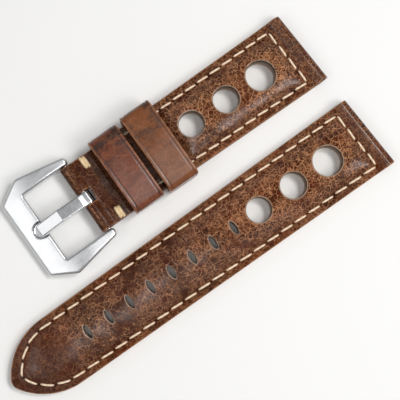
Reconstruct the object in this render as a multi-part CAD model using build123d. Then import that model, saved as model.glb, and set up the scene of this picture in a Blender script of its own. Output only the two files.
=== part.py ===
from build123d import *
from math import asin, atan, atan2, cos, degrees, radians, sin, sqrt
import os

# A padded two-piece leather watch strap, laid flat with its halves side by side.
# X runs along the halves towards the watch, Y across them and Z up from the table, in millimetres.
# Each half is drawn with its lug end at X = 0, its middle at Y = 0 and its underside at Z = 0, and
# what belongs to the buckle is drawn round the axis of its spring bar. Both are placed at the end.

# Strap widths and lengths
LUG_WIDTH = 22.0
END_WIDTH = 20.4
BUCKLE_HALF_LENGTH = 75.0
TAIL_HALF_LENGTH = 120.0
TIP_TAPER = 16.0
TIP_NOSE = 3.0

# How the halves lie beside each other
HALF_SPACING = 29.8
LUG_STAGGER = 1.5

# Layers of the strap, from the underside up, and its rounded edge
LINING = 1.2
SHEET = 0.3
TOP_LEATHER = 1.5
SHEET_INSET = 0.5
EDGE_ROUND = 0.4

# Crown of the padding: its height, and its height at places along it as shares
CROWN_RISE = 2.2
TAIL_PLACE_SHARES = (0.0, 0.012, 0.036, 0.08, 0.32, 0.5, 0.83, 0.92, 0.965, 0.99)
TAIL_RISE_SHARES = (0.1, 0.5, 0.86, 1.0, 0.76, 0.54, 0.44, 0.38, 0.27, 0.1)
BUCKLE_PLACE_SHARES = (0.0, 0.035, 0.1, 0.22, 0.65, 0.9, 0.97, 1.0)
BUCKLE_RISE_SHARES = (0.1, 0.5, 0.86, 1.0, 0.8, 0.58, 0.36, 0.1)

# Leather folded round a spring bar, at the lug ends and at the buckle
BAR_RADIUS = 0.9
BORE_CLEARANCE = 0.1
FOLD_LEATHER = 1.0
FOLD_LENGTH = 4.3

# Saddle stitching: its line, its channels and its threads
STITCH_MARGIN = 2.15
STITCH_TIP_INSET = 3.5
STITCH_NOSE = 2.5
TAIL_CROSS_LINE = 4.8
BUCKLE_CROSS_LINE = 5.5
STITCH_TO_PADDING = 0.8
CHANNEL_WIDTH = 0.9
TOP_CHANNEL = 0.1
UNDERSIDE_CHANNEL = 0.4
THREAD_RADIUS = 0.35
THREAD_GAP = 0.02
STITCH_LENGTH = 3.3
TAIL_STITCH_PITCH = 4.6
BUCKLE_STITCH_PITCH = 4.28
CROSS_STITCHES = 4

# Bar tacks that close the fold at the buckle
TACK_THREAD_RADIUS = 0.42
TACK_LENGTH = 3.3
TACK_PITCH = 0.9
TACK_THREADS = 2
TACK_FROM_END = 7.0
TACK_FROM_EDGE = 0.4

# Round holes in both halves, and the buckle slits in the tail
HOLE_FIRST = 15.0
HOLE_PITCH = 11.6
HOLE_DIAMETERS = (8.3, 7.3, 7.0)
SLIT_FIRST = 46.6
SLIT_PITCH = 6.93
SLIT_COUNT = 8
SLIT_LENGTH = 4.4
SLIT_WIDTH = 1.7

# Keepers: leather loops round the buckle half
KEEPER_LEATHER = 1.1
KEEPER_ROOM = 5.0
KEEPER_ARCH = 0.9
KEEPER_SIDE_GAP = 0.3
KEEPER_UNDER_GAP = 0.1
KEEPER_SHOULDER = 2.4
KEEPER_FOOT = 0.9
KEEPER_INNER_FOOT = 0.05
FIXED_KEEPER_FROM_END = 10.4
FIXED_KEEPER_LENGTH = 9.1
FIXED_KEEPER_GAP = 0.1
FREE_KEEPER_FROM_FIXED = 1.7
FREE_KEEPER_LENGTH = 9.3
FREE_KEEPER_TRAVEL = 22.0

# Buckle frame, measured from the axis of its spring bar
FRAME_REACH = 20.6
FRAME_HEEL = 1.2
FRAME_WIDTH = 31.1
FRAME_FRONT = 23.2
FRAME_CORNER = 7.2
FRAME_HEEL_WIDTH = 25.6
FRAME_BAR = 6.6
FRAME_THICKNESS = 2.8
FRAME_CURVE = 45.0
FRAME_SIDE_GAP = 0.3
FRAME_CORNER_ROUND = 1.2
FRAME_HEEL_ROUND = 1.05
FRAME_INNER_ROUND = 0.5
FRAME_BEVEL = 0.45

# Tongue, and the notch that it rests in
TONGUE_WIDTH = 3.4
TONGUE_LAP = 2.0
TONGUE_RIDGE = 7.4
TONGUE_RIDGE_HEIGHT = 2.9
TONGUE_THICKNESS = 1.0
TONGUE_TIP_THICKNESS = 1.0
TONGUE_TIP_ROUND = 0.9
TONGUE_PROUD = 0.22
TONGUE_EYE_WALL = 0.6
TONGUE_EYE_CLEARANCE = 0.05
TONGUE_SLOT_GAP = 0.25
TONGUE_SLOT_BACK_GAP = 0.5
NOTCH_TIP_GAP = 1.3
NOTCH_GAP = 0.3
NOTCH_CLEARANCE = 0.1

# Spring bar: barrel, two pins and the spring between them
BARREL_WALL = 0.3
BARREL_LIP = 0.3
PIN_TIP_RADIUS = 0.45
PIN_CLEARANCE = 0.05
PIN_SHANK_LENGTH = 4.0
PIN_ENGAGEMENT = 1.1
PIN_HOLE_SPARE = 0.2
SPRING_WIRE = 0.14
SPRING_WIRE_SIDES = 8
SPRING_TURNS = 14
SPRING_END_GAP = 0.02

# How far a cutting tool runs past what it cuts, and how near an edge lies to the place it is picked by
OVERRUN = 5.0
PICK_REACH = 0.05

# Sizes that follow from those above
THICKNESS = LINING + SHEET + TOP_LEATHER
BORE_RADIUS = BAR_RADIUS + BORE_CLEARANCE
FOLD_RADIUS = BORE_RADIUS + FOLD_LEATHER
TALLEST = THICKNESS + CROWN_RISE + OVERRUN
BAR_X = -(BUCKLE_HALF_LENGTH - FOLD_RADIUS)
FIXED_KEEPER_START = BUCKLE_HALF_LENGTH - FIXED_KEEPER_FROM_END - FIXED_KEEPER_LENGTH
FREE_KEEPER_START = FIXED_KEEPER_START - FREE_KEEPER_FROM_FIXED - FREE_KEEPER_LENGTH
FRAME_INNER = END_WIDTH + 2 * FRAME_SIDE_GAP
NOTCH_MOUTH = -(FRAME_REACH - FRAME_BAR)
TONGUE_REACH = TONGUE_LAP - NOTCH_MOUTH
BARREL_LENGTH = END_WIDTH
EYE_BORE = BAR_RADIUS + TONGUE_EYE_CLEARANCE
EYE_RADIUS = EYE_BORE + TONGUE_EYE_WALL
PIN_HOLE_RADIUS = PIN_TIP_RADIUS + PIN_CLEARANCE
BARREL_BORE = BAR_RADIUS - BARREL_WALL
PIN_SHANK_RADIUS = BARREL_BORE - PIN_CLEARANCE
PADDING_BASE = LINING + SHEET


def block(x_low, x_high, half_width, z_low, z_high):
    """A box across the strap, from one X to another and one Z to another."""
    size = (x_high - x_low, 2 * half_width, z_high - z_low)
    return Pos((x_low + x_high) / 2, 0, (z_low + z_high) / 2) * Box(*size)


def across(radius, length):
    """A round bar along Y, centred on the origin."""
    return Rot(90, 0, 0) * Cylinder(radius, length)


def side_half_width(x, straight_length):
    """Half the strap's width at X, on the straight taper from the lug end."""
    return (LUG_WIDTH - (LUG_WIDTH - END_WIDTH) * -x / straight_length) / 2


# The outline of the tail half, at any inset

def flank_circle(half, shoulder, apex, nose):
    """Radius and centre of the flank arc: tangent to the side at the shoulder and to the nose circle."""
    taper = shoulder - apex
    radius = ((taper - nose) ** 2 + half ** 2 - nose ** 2) / (2 * (half - nose))
    return radius, half - radius


def tail_points(side_inset, lug_inset, tip_inset, nose):
    """Places on the tail's outline: lug corner, shoulder, where flank meets nose, and apex."""
    shoulder = -(TAIL_HALF_LENGTH - TIP_TAPER)
    apex = -(TAIL_HALF_LENGTH - tip_inset)
    half = END_WIDTH / 2 - side_inset
    radius, centre_y = flank_circle(half, shoulder, apex, nose)
    nose_centre = Vector(apex + nose, 0)
    flank_centre = Vector(shoulder, centre_y)
    touch = flank_centre + (nose_centre - flank_centre).normalized() * radius
    lug_half = side_half_width(-lug_inset, TAIL_HALF_LENGTH - TIP_TAPER) - side_inset
    return Vector(-lug_inset, lug_half), Vector(shoulder, half), touch, Vector(apex, 0)


def tail_edge(side_inset, lug_inset, tip_inset, nose):
    """The tail's outline from one lug corner round the tip to the other, as edges."""
    lug, shoulder, touch, apex = tail_points(side_inset, lug_inset, tip_inset, nose)
    mirrored = [Vector(p.X, -p.Y) for p in (touch, shoulder, lug)]
    return [
        Line(lug, shoulder),
        TangentArc(shoulder, touch, tangent=(-1, 0)),
        ThreePointArc(touch, apex, mirrored[0]),
        TangentArc(mirrored[1], mirrored[0], tangent=(-1, 0)),
        Line(mirrored[1], mirrored[2]),
    ]


def tail_face(side_inset, lug_inset, tip_inset, nose):
    """The tail's outline as a flat face."""
    lug = tail_points(side_inset, lug_inset, tip_inset, nose)[0]
    return make_face(tail_edge(side_inset, lug_inset, tip_inset, nose) + [Line((lug.X, -lug.Y), lug)])


def tail_half_width(x, side_inset, tip_inset, nose):
    """Half the width inside the tail's outline at X."""
    lug, shoulder, touch, apex = tail_points(side_inset, 0, tip_inset, nose)
    if x > shoulder.X:
        return lug.Y + (shoulder.Y - lug.Y) * x / shoulder.X
    if x > touch.X:
        radius, centre_y = flank_circle(shoulder.Y, shoulder.X, apex.X, nose)
        return centre_y + sqrt(radius ** 2 - (shoulder.X - x) ** 2)
    return sqrt(nose ** 2 - (apex.X + nose - x) ** 2)


# The outline of the buckle half, at any inset

def buckle_points(side_inset, lug_inset, length):
    """Corners of the buckle half's outline on the +Y side: lug end and far end."""
    lug_half = side_half_width(-lug_inset, BUCKLE_HALF_LENGTH) - side_inset
    far_half = side_half_width(-length, BUCKLE_HALF_LENGTH) - side_inset
    return Vector(-lug_inset, lug_half), Vector(-length, far_half)


def buckle_face(side_inset, lug_inset, length):
    """The buckle half's outline as a flat face."""
    lug, far = buckle_points(side_inset, lug_inset, length)
    return make_face(Polyline(lug, far, (far.X, -far.Y), (lug.X, -lug.Y), close=True))


# Solids that both halves share

def fold_bar(end_x, inward):
    """The thick rounded end where the leather is folded round a spring bar."""
    centre_x = end_x + inward * FOLD_RADIUS
    run_out = end_x + inward * FOLD_LENGTH
    corners = [(centre_x, 0, 0), (run_out, 0, 0), (run_out, 0, THICKNESS), (centre_x, 0, 2 * FOLD_RADIUS)]
    wedge = extrude(make_face(Polyline(*corners, close=True)), LUG_WIDTH / 2, both=True)
    return wedge + Pos(centre_x, 0, FOLD_RADIUS) * across(FOLD_RADIUS, LUG_WIDTH)


def crown(stations, base, skirt):
    """A loft of low arches: at each X, an arc of given half width and rise, over a short skirt."""
    sections = []
    for x, half, rise in stations:
        arch = ThreePointArc((x, half, base), (x, 0, base + rise), (x, -half, base))
        sole = base - skirt
        foot = Polyline((x, -half, base), (x, -half, sole), (x, half, sole), (x, half, base))
        sections.append(make_face([arch, foot]))
    return loft(sections, ruled=True)


def crown_stations(start, end, half_at, place_shares, rise_shares):
    """Places, half widths and rises of the padding's sections."""
    stations = []
    for place, rise in zip(place_shares, rise_shares):
        x = start + (end - start) * place
        stations.append((x, half_at(x), CROWN_RISE * rise))
    return stations


def padding_and_bulge(stations):
    """The padding itself, and the bulge that it raises in the leather over it."""
    padding = crown(stations, PADDING_BASE + SHEET, SHEET)
    bulge = crown(stations, THICKNESS + SHEET, TOP_LEATHER)
    return padding, bulge


def rounded_slab(face, end_x_values):
    """The strap's flat leather, with its long edges rounded and its square ends left sharp."""
    slab = extrude(face, THICKNESS)
    rims = slab.edges().filter_by(lambda e: rim_edge(e) and not square_end(e, end_x_values))
    return fillet(rims, EDGE_ROUND)


def near(value, target):
    """True where a measure is the wanted one."""
    return abs(value - target) < PICK_REACH


def rim_edge(edge):
    """True for an edge that lies flat on the slab's top or underside."""
    return near((edge @ 0).Z, (edge @ 1).Z)


def square_end(edge, end_x_values):
    """True for an edge that runs across a square end."""
    return any(near((edge @ 0.5).X, x) for x in end_x_values)


def half_capsule(radius, length):
    """One stitch: a rounded thread along X, flat underneath."""
    straight = length - 2 * radius
    thread = Rot(0, 90, 0) * Cylinder(radius, straight)
    for end in (-1, 1):
        thread += Pos(end * straight / 2, 0, 0) * Sphere(radius)
    return split(thread, Plane.XY, keep=Keep.TOP)


def stitches_along(path, stitch, count, height):
    """Copies of a stitch, evenly spaced along a path at one height."""
    placed = []
    for k in range(count):
        share = (k + 0.5) / count
        spot, heading = path.position_at(share), path.tangent_at(share)
        turn = degrees(atan2(heading.Y, heading.X))
        placed.append(Location((spot.X, spot.Y, height), (0, 0, turn)) * stitch)
    return placed


def stitching(sides, cross, pitch):
    """All the stitches of one half: on its top and, set into its underside, below."""
    over = half_capsule(THREAD_RADIUS, STITCH_LENGTH)
    under = Rot(180, 0, 0) * over
    top, underside = [], []
    lines = [(path, max(1, round(path.length / pitch))) for path in sides] + [(cross, CROSS_STITCHES)]
    for path, count in lines:
        top += stitches_along(path, over, count, THICKNESS - TOP_CHANNEL + THREAD_GAP)
        underside += stitches_along(path, under, count, UNDERSIDE_CHANNEL - THREAD_GAP)
    return Compound(children=top), Compound(children=underside)


def round_holes():
    """Cutting tools for the three round holes."""
    tools = []
    for k, diameter in enumerate(HOLE_DIAMETERS):
        tools.append(Pos(-(HOLE_FIRST + k * HOLE_PITCH), 0, 0) * Cylinder(diameter / 2, 2 * TALLEST))
    return tools


def slits():
    """Cutting tools for the buckle slits: pointed ovals across the strap."""
    half_length, half_width = SLIT_LENGTH / 2, SLIT_WIDTH / 2
    left, right = (0, half_length), (0, -half_length)
    near_side = ThreePointArc(left, (half_width, 0), right)
    far_side = ThreePointArc(right, (-half_width, 0), left)
    tool = extrude(make_face([near_side, far_side]), TALLEST, both=True)
    return [Pos(-(SLIT_FIRST + k * SLIT_PITCH), 0, 0) * tool for k in range(SLIT_COUNT)]


def cut_all(solid, tools):
    """A solid with every tool taken out of it."""
    for tool in tools:
        solid -= tool
    return solid


# Tail half

def tail_padded_half(x):
    """Half the padding's width in the tail at X: it ends a little inside the stitching."""
    return tail_half_width(
        x, STITCH_MARGIN + STITCH_TO_PADDING, STITCH_TIP_INSET + STITCH_TO_PADDING, STITCH_NOSE)


def tail_half():
    """The tail half's layers and threads, by name."""
    far = -(TAIL_HALF_LENGTH + OVERRUN)
    start = -(TAIL_CROSS_LINE + STITCH_TO_PADDING)
    end = -(TAIL_HALF_LENGTH - STITCH_TIP_INSET - STITCH_TO_PADDING)
    padding, bulge = padding_and_bulge(
        crown_stations(start, end, tail_padded_half, TAIL_PLACE_SHARES, TAIL_RISE_SHARES))
    slab = rounded_slab(tail_face(0, FOLD_RADIUS, 0, TIP_NOSE), [-FOLD_RADIUS])
    fold = fold_bar(0, -1) & extrude(tail_face(0, 0, 0, TIP_NOSE), TALLEST, both=True)
    whole = slab + fold + bulge
    lining = whole & block(far, -FOLD_LENGTH, LUG_WIDTH, 0, LINING)
    sheet_face = tail_face(SHEET_INSET, FOLD_LENGTH, SHEET_INSET, TIP_NOSE - SHEET_INSET)
    sheet = Pos(0, 0, LINING) * extrude(sheet_face, SHEET)
    top = whole - lining - sheet - padding
    top -= Pos(-FOLD_RADIUS, 0, FOLD_RADIUS) * across(BORE_RADIUS, LUG_WIDTH + OVERRUN)
    channel_faces = [
        tail_face(STITCH_MARGIN + side, TAIL_CROSS_LINE + side, STITCH_TIP_INSET + side, STITCH_NOSE - side)
        for side in (-CHANNEL_WIDTH / 2, CHANNEL_WIDTH / 2)]
    channel = channel_faces[0] - channel_faces[1]
    top -= Pos(0, 0, THICKNESS - TOP_CHANNEL) * extrude(channel, TOP_CHANNEL)
    lining -= extrude(channel, UNDERSIDE_CHANNEL)
    holes = round_holes() + slits()
    lug = tail_points(STITCH_MARGIN, TAIL_CROSS_LINE, STITCH_TIP_INSET, STITCH_NOSE)[0]
    edge = Wire(tail_edge(STITCH_MARGIN, TAIL_CROSS_LINE, STITCH_TIP_INSET, STITCH_NOSE))
    cross = Line(lug, (lug.X, -lug.Y))
    top_thread, lining_thread = stitching([edge], cross, TAIL_STITCH_PITCH)
    return {
        "tail_top_leather": cut_all(top, holes),
        "tail_padding": cut_all(padding, holes),
        "tail_reinforcement": cut_all(sheet, holes),
        "tail_lining": cut_all(lining, holes),
        "tail_top_thread": top_thread,
        "tail_lining_thread": lining_thread,
    }


# Buckle half

def buckle_padded_half(x):
    """Half the padding's width in the buckle half at X."""
    return side_half_width(x, BUCKLE_HALF_LENGTH) - STITCH_MARGIN - STITCH_TO_PADDING


def buckle_half():
    """The buckle half's layers, threads and bar tacks, by name."""
    start = -(BUCKLE_CROSS_LINE + STITCH_TO_PADDING)
    end = -(FREE_KEEPER_START - KEEPER_LEATHER)
    padding, bulge = padding_and_bulge(
        crown_stations(start, end, buckle_padded_half, BUCKLE_PLACE_SHARES, BUCKLE_RISE_SHARES))
    square = BUCKLE_HALF_LENGTH - FOLD_RADIUS
    slab = rounded_slab(buckle_face(0, FOLD_RADIUS, square), [-FOLD_RADIUS, -square])
    outline = extrude(buckle_face(0, 0, BUCKLE_HALF_LENGTH), TALLEST, both=True)
    folds = (fold_bar(0, -1) & outline) + (fold_bar(-BUCKLE_HALF_LENGTH, 1) & outline)
    whole = slab + folds + bulge
    pocket_start, pocket_end = FIXED_KEEPER_START, FIXED_KEEPER_START + FIXED_KEEPER_LENGTH
    lining = whole & block(-pocket_start, -FOLD_LENGTH, LUG_WIDTH, 0, LINING)
    sheet_face = buckle_face(SHEET_INSET, FOLD_LENGTH, BUCKLE_HALF_LENGTH - FOLD_LENGTH)
    sheet = Pos(0, 0, LINING) * extrude(sheet_face, SHEET)
    top = whole - lining - sheet - padding
    top -= block(-pocket_end, -pocket_start, LUG_WIDTH, -OVERRUN, LINING)
    for bar_x in (-FOLD_RADIUS, BAR_X):
        top -= Pos(bar_x, 0, FOLD_RADIUS) * across(BORE_RADIUS, LUG_WIDTH + OVERRUN)
    channel_faces = [
        buckle_face(STITCH_MARGIN + side, BUCKLE_CROSS_LINE + side, pocket_start)
        for side in (-CHANNEL_WIDTH / 2, CHANNEL_WIDTH / 2)]
    channel = channel_faces[0] - channel_faces[1]
    top -= Pos(0, 0, THICKNESS - TOP_CHANNEL) * extrude(channel, TOP_CHANNEL)
    lining -= extrude(channel, UNDERSIDE_CHANNEL)
    slot_half = TONGUE_WIDTH / 2 + TONGUE_SLOT_GAP
    slot_end = BAR_X + EYE_RADIUS + TONGUE_SLOT_BACK_GAP
    slot = block(-(BUCKLE_HALF_LENGTH + OVERRUN), slot_end, slot_half, -OVERRUN, TALLEST)
    holes = round_holes()
    lug, far = buckle_points(STITCH_MARGIN, BUCKLE_CROSS_LINE, pocket_start)
    sides = [Line(lug, far), Line((lug.X, -lug.Y), (far.X, -far.Y))]
    cross = Line(lug, (lug.X, -lug.Y))
    top_thread, lining_thread = stitching(sides, cross, BUCKLE_STITCH_PITCH)
    return {
        "buckle_top_leather": cut_all(top, holes + [slot]),
        "buckle_padding": cut_all(padding, holes),
        "buckle_reinforcement": cut_all(sheet, holes + [slot]),
        "buckle_lining": cut_all(lining, holes),
        "buckle_top_thread": top_thread,
        "buckle_lining_thread": lining_thread,
        "bar_tacks": bar_tacks(),
    }


def bar_tacks():
    """Short thick stitches on both faces, beside each edge, that close the fold at the buckle."""
    over = Rot(0, 0, 90) * half_capsule(TACK_THREAD_RADIUS, TACK_LENGTH)
    under = Rot(180, 0, 0) * over
    middle_x = -(BUCKLE_HALF_LENGTH - TACK_FROM_END)
    middle_y = side_half_width(middle_x, BUCKLE_HALF_LENGTH) - TACK_FROM_EDGE - TACK_LENGTH / 2
    threads = []
    for side in (-1, 1):
        for k in range(TACK_THREADS):
            x = middle_x + (k - (TACK_THREADS - 1) / 2) * TACK_PITCH
            threads.append(Pos(x, side * middle_y, THICKNESS + THREAD_GAP) * over)
            threads.append(Pos(x, side * middle_y, -THREAD_GAP) * under)
    return Compound(children=threads)


# Keepers

def loop_face(half, floor, ceiling, shoulder, foot):
    """The outline of a loop across the strap: flat below, arched above, with rounded corners."""
    side_top = ceiling - KEEPER_ARCH
    face = make_face([
        Line((0, -half, floor), (0, half, floor)),
        Line((0, half, floor), (0, half, side_top)),
        ThreePointArc((0, half, side_top), (0, 0, ceiling), (0, -half, side_top)),
        Line((0, -half, side_top), (0, -half, floor)),
    ])
    face = fillet(face.vertices().filter_by(lambda v: v.Z > side_top - shoulder), shoulder)
    return fillet(face.vertices().filter_by(lambda v: v.Z < floor + foot / 2), foot)


def keeper(start, length, inner_half, floor, floor_leather):
    """A leather loop round the strap, from one X to another."""
    ceiling = THICKNESS + KEEPER_ROOM
    inner_shoulder = KEEPER_SHOULDER - KEEPER_LEATHER
    outer = loop_face(inner_half + KEEPER_LEATHER, floor - floor_leather, ceiling + KEEPER_LEATHER,
                      KEEPER_SHOULDER, KEEPER_FOOT)
    inner = loop_face(inner_half, floor, ceiling, inner_shoulder, KEEPER_INNER_FOOT)
    loop = extrude(outer - inner, length, dir=(-1, 0, 0))
    return Pos(-start, 0, 0) * loop


def keepers():
    """The free and the fixed keeper, by name."""
    widest_x = -(FREE_KEEPER_START - FREE_KEEPER_TRAVEL)
    free_half = side_half_width(widest_x, BUCKLE_HALF_LENGTH) + KEEPER_SIDE_GAP
    fixed_half = side_half_width(-FIXED_KEEPER_START, BUCKLE_HALF_LENGTH) + FIXED_KEEPER_GAP
    return {
        "free_keeper": keeper(
            FREE_KEEPER_START, FREE_KEEPER_LENGTH, free_half, -KEEPER_UNDER_GAP, KEEPER_LEATHER),
        "fixed_keeper": keeper(
            FIXED_KEEPER_START, FIXED_KEEPER_LENGTH, fixed_half, LINING, LINING),
    }


# Where the halves lie. The buckle half leans a little: its lug end rests on the table, and so does the
# band of the free keeper that passes underneath it.

LEAN = degrees(atan((KEEPER_LEATHER + KEEPER_UNDER_GAP) / (FREE_KEEPER_START - FOLD_RADIUS)))
LIFT = FOLD_RADIUS * (1 - cos(radians(LEAN)) - sin(radians(LEAN)))
Y_SPAN = LUG_WIDTH / 2 + HALF_SPACING + FRAME_WIDTH / 2
TAIL_PLACE = Location((TAIL_HALF_LENGTH / 2, (LUG_WIDTH - Y_SPAN) / 2, 0))
BUCKLE_PLACE = Location(
    (TAIL_HALF_LENGTH / 2 - LUG_STAGGER, (LUG_WIDTH - Y_SPAN) / 2 + HALF_SPACING, LIFT), (0, LEAN, 0))
BAR_PLACE = Location((BUCKLE_PLACE * Location((BAR_X, 0, FOLD_RADIUS))).position)
BAR_HEIGHT = BAR_PLACE.position.Z


# Buckle frame: a band curved like the wrist, whose front edge rests on the table

def frame_centre():
    """Centre of the frame's curve, so that the curve passes the bar and the front edge touches down."""
    across_term = 2 * FRAME_CURVE * FRAME_REACH
    down_term = 2 * FRAME_CURVE * BAR_HEIGHT
    inner_radius = FRAME_CURVE - FRAME_THICKNESS / 2
    level = inner_radius ** 2 - FRAME_CURVE ** 2 - FRAME_REACH ** 2 - BAR_HEIGHT ** 2
    swing = sqrt(across_term ** 2 + down_term ** 2)
    tilt = atan2(down_term, across_term) + asin(level / swing)
    return FRAME_CURVE * sin(tilt), -FRAME_CURVE * cos(tilt)


def frame_top(x):
    """Height of the frame's upper face over the bar's axis, at X."""
    centre_x, centre_z = frame_centre()
    return centre_z + sqrt((FRAME_CURVE + FRAME_THICKNESS / 2) ** 2 - (x - centre_x) ** 2)


def frame_plan():
    """The frame's outline from above: a front bar with cut corners, and two arms that narrow."""
    front, bar_edge, corner_x = -FRAME_REACH, NOTCH_MOUTH, -FRAME_REACH + FRAME_CORNER
    upper = [
        (front, FRAME_FRONT / 2), (corner_x, FRAME_WIDTH / 2), (FRAME_HEEL, FRAME_HEEL_WIDTH / 2),
        (FRAME_HEEL, FRAME_INNER / 2), (bar_edge, FRAME_INNER / 2)]
    lower = [(x, -y) for x, y in reversed(upper)]
    plan = make_face(Polyline(*upper, *lower, close=True))
    heels = plan.vertices().filter_by(lambda v: v.X > FRAME_HEEL / 2)
    plan = fillet(heels, FRAME_HEEL_ROUND)
    inner = plan.vertices().filter_by(lambda v: near(v.X, bar_edge) and near(abs(v.Y), FRAME_INNER / 2))
    plan = fillet(inner, FRAME_INNER_ROUND)
    outer = plan.vertices().filter_by(
        lambda v: near(v.X, front) or (near(v.X, corner_x) and near(abs(v.Y), FRAME_WIDTH / 2)))
    return fillet(outer, FRAME_CORNER_ROUND)


def buckle_frame():
    """The frame, with the notch for the tongue and blind holes for the spring bar."""
    centre_x, centre_z = frame_centre()
    outer = across(FRAME_CURVE + FRAME_THICKNESS / 2, FRAME_WIDTH + OVERRUN)
    inner = across(FRAME_CURVE - FRAME_THICKNESS / 2, FRAME_WIDTH + 2 * OVERRUN)
    prism = extrude(frame_plan(), FRAME_REACH, both=True)
    band = prism & (Pos(centre_x, 0, centre_z) * (outer - inner))
    upper = band.edges().filter_by(lambda e: on_upper_face(e, centre_x, centre_z))
    band = chamfer(upper, FRAME_BEVEL)
    notch_half = TONGUE_WIDTH / 2 + NOTCH_GAP
    round_x = -(TONGUE_REACH + NOTCH_TIP_GAP) + notch_half
    floor = frame_top(-TONGUE_REACH) + TONGUE_PROUD - TONGUE_TIP_THICKNESS - NOTCH_CLEARANCE
    notch = Pos(round_x, 0, floor) * extrude(Circle(notch_half), FRAME_REACH)
    notch += block(round_x, NOTCH_MOUTH + notch_half, notch_half, floor, floor + FRAME_REACH)
    band -= notch
    depth = PIN_ENGAGEMENT + PIN_HOLE_SPARE
    for side in (-1, 1):
        band -= Pos(0, side * (FRAME_INNER + depth) / 2, 0) * across(PIN_HOLE_RADIUS, depth)
    return band


def on_upper_face(edge, centre_x, centre_z):
    """True for an edge whose middle lies on the frame's upper face."""
    middle = edge @ 0.5
    radius = sqrt((middle.X - centre_x) ** 2 + (middle.Z - centre_z) ** 2)
    start = edge @ 0
    start_radius = sqrt((start.X - centre_x) ** 2 + (start.Z - centre_z) ** 2)
    target = FRAME_CURVE + FRAME_THICKNESS / 2
    return near(radius, target) and near(start_radius, target)


def tongue():
    """The bent steel strip: an eye round the spring bar, a rise to the ridge, then down to the tip."""
    ridge_x = -TONGUE_REACH + TONGUE_RIDGE
    tip_top = frame_top(-TONGUE_REACH) + TONGUE_PROUD
    upper = [(0, 0, EYE_RADIUS), (ridge_x, 0, TONGUE_RIDGE_HEIGHT), (-TONGUE_REACH, 0, tip_top)]
    lower = [
        (-TONGUE_REACH, 0, tip_top - TONGUE_TIP_THICKNESS),
        (ridge_x, 0, TONGUE_RIDGE_HEIGHT - TONGUE_THICKNESS),
        (0, 0, EYE_RADIUS - TONGUE_THICKNESS)]
    side = make_face(Polyline(*upper, *lower, close=True))
    strip = extrude(side, TONGUE_WIDTH / 2, both=True) + across(EYE_RADIUS, TONGUE_WIDTH)
    strip -= across(EYE_BORE, TONGUE_WIDTH + OVERRUN)
    tip = strip.edges().filter_by(Axis.Z).filter_by(lambda e: (e @ 0.5).X < ridge_x)
    return fillet(tip, TONGUE_TIP_ROUND)


def spring_bar():
    """The telescopic bar that joins buckle, tongue and leather, by name."""
    half = BARREL_LENGTH / 2
    barrel = across(BAR_RADIUS, BARREL_LENGTH)
    barrel -= across(BARREL_BORE, BARREL_LENGTH - 2 * BARREL_LIP)
    barrel -= across(PIN_HOLE_RADIUS, BARREL_LENGTH + OVERRUN)
    shoulder = half - BARREL_LIP
    pin_end = FRAME_INNER / 2 + PIN_ENGAGEMENT
    shank = Pos(0, shoulder - PIN_SHANK_LENGTH / 2, 0) * across(PIN_SHANK_RADIUS, PIN_SHANK_LENGTH)
    tip = Pos(0, (shoulder + pin_end) / 2, 0) * across(PIN_TIP_RADIUS, pin_end - shoulder)
    left_pin = shank + tip
    room = 2 * (shoulder - PIN_SHANK_LENGTH - SPRING_END_GAP - SPRING_WIRE)
    coil_radius = PIN_SHANK_RADIUS - SPRING_WIRE
    path = Helix(pitch=room / SPRING_TURNS, height=room, radius=coil_radius)
    section = Plane(origin=path @ 0, z_dir=path % 0) * RegularPolygon(SPRING_WIRE, SPRING_WIRE_SIDES)
    spring = Rot(90, 0, 0) * (Pos(0, 0, -room / 2) * sweep(section, path=path))
    return {
        "spring_bar_barrel": barrel,
        "spring_bar_pin_left": left_pin,
        "spring_bar_pin_right": Rot(0, 0, 180) * left_pin,
        "spring_bar_spring": spring,
    }


def place_all(pieces, place):
    """Every piece of a group, moved to where the group lies."""
    return {name: place * piece for name, piece in pieces.items()}


nodes = {}
nodes |= place_all(tail_half(), TAIL_PLACE)
nodes |= place_all(buckle_half(), BUCKLE_PLACE)
nodes |= place_all(keepers(), BUCKLE_PLACE)
nodes |= place_all({"buckle_frame": buckle_frame(), "buckle_tongue": tongue()} | spring_bar(), BAR_PLACE)

os.makedirs("parts", exist_ok=True)
for name, piece in nodes.items():
    export_step(piece, f"parts/{name}.step")
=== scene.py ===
import math

import bmesh
import bpy
import numpy as np
from bpy.props import FloatProperty, FloatVectorProperty, PointerProperty
from mathutils import Matrix, Vector


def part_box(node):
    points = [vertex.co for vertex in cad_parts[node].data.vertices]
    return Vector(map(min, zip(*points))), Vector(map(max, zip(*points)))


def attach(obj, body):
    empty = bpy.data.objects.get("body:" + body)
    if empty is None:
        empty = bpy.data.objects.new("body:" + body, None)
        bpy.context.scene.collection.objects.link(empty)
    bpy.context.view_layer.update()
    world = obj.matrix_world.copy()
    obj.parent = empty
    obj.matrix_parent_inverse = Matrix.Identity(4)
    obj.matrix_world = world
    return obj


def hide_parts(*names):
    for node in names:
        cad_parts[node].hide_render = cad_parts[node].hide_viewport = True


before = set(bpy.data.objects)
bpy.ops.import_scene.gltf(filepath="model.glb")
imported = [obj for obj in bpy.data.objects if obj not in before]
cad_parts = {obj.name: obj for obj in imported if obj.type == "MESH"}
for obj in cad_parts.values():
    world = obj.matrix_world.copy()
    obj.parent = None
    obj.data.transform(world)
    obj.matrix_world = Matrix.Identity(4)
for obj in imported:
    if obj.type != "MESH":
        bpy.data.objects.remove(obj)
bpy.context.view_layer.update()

# A padded leather watch strap, laid flat in two halves on a pale floor. Lengths are in metres.
# A place on a half is given by its distance from the lug end, "along", and from the middle line,
# "over", towards +Y. Each half is built lying level and then set where the frame has it.

bl_info = {
    "name": "Leather watch strap",
    "version": (1, 0, 0),
    "blender": (4, 5, 0),
    "location": "View3D > Sidebar > Strap",
    "description": "Builds a padded two-piece leather watch strap with its keepers and buckle",
    "category": "Object",
}

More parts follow.
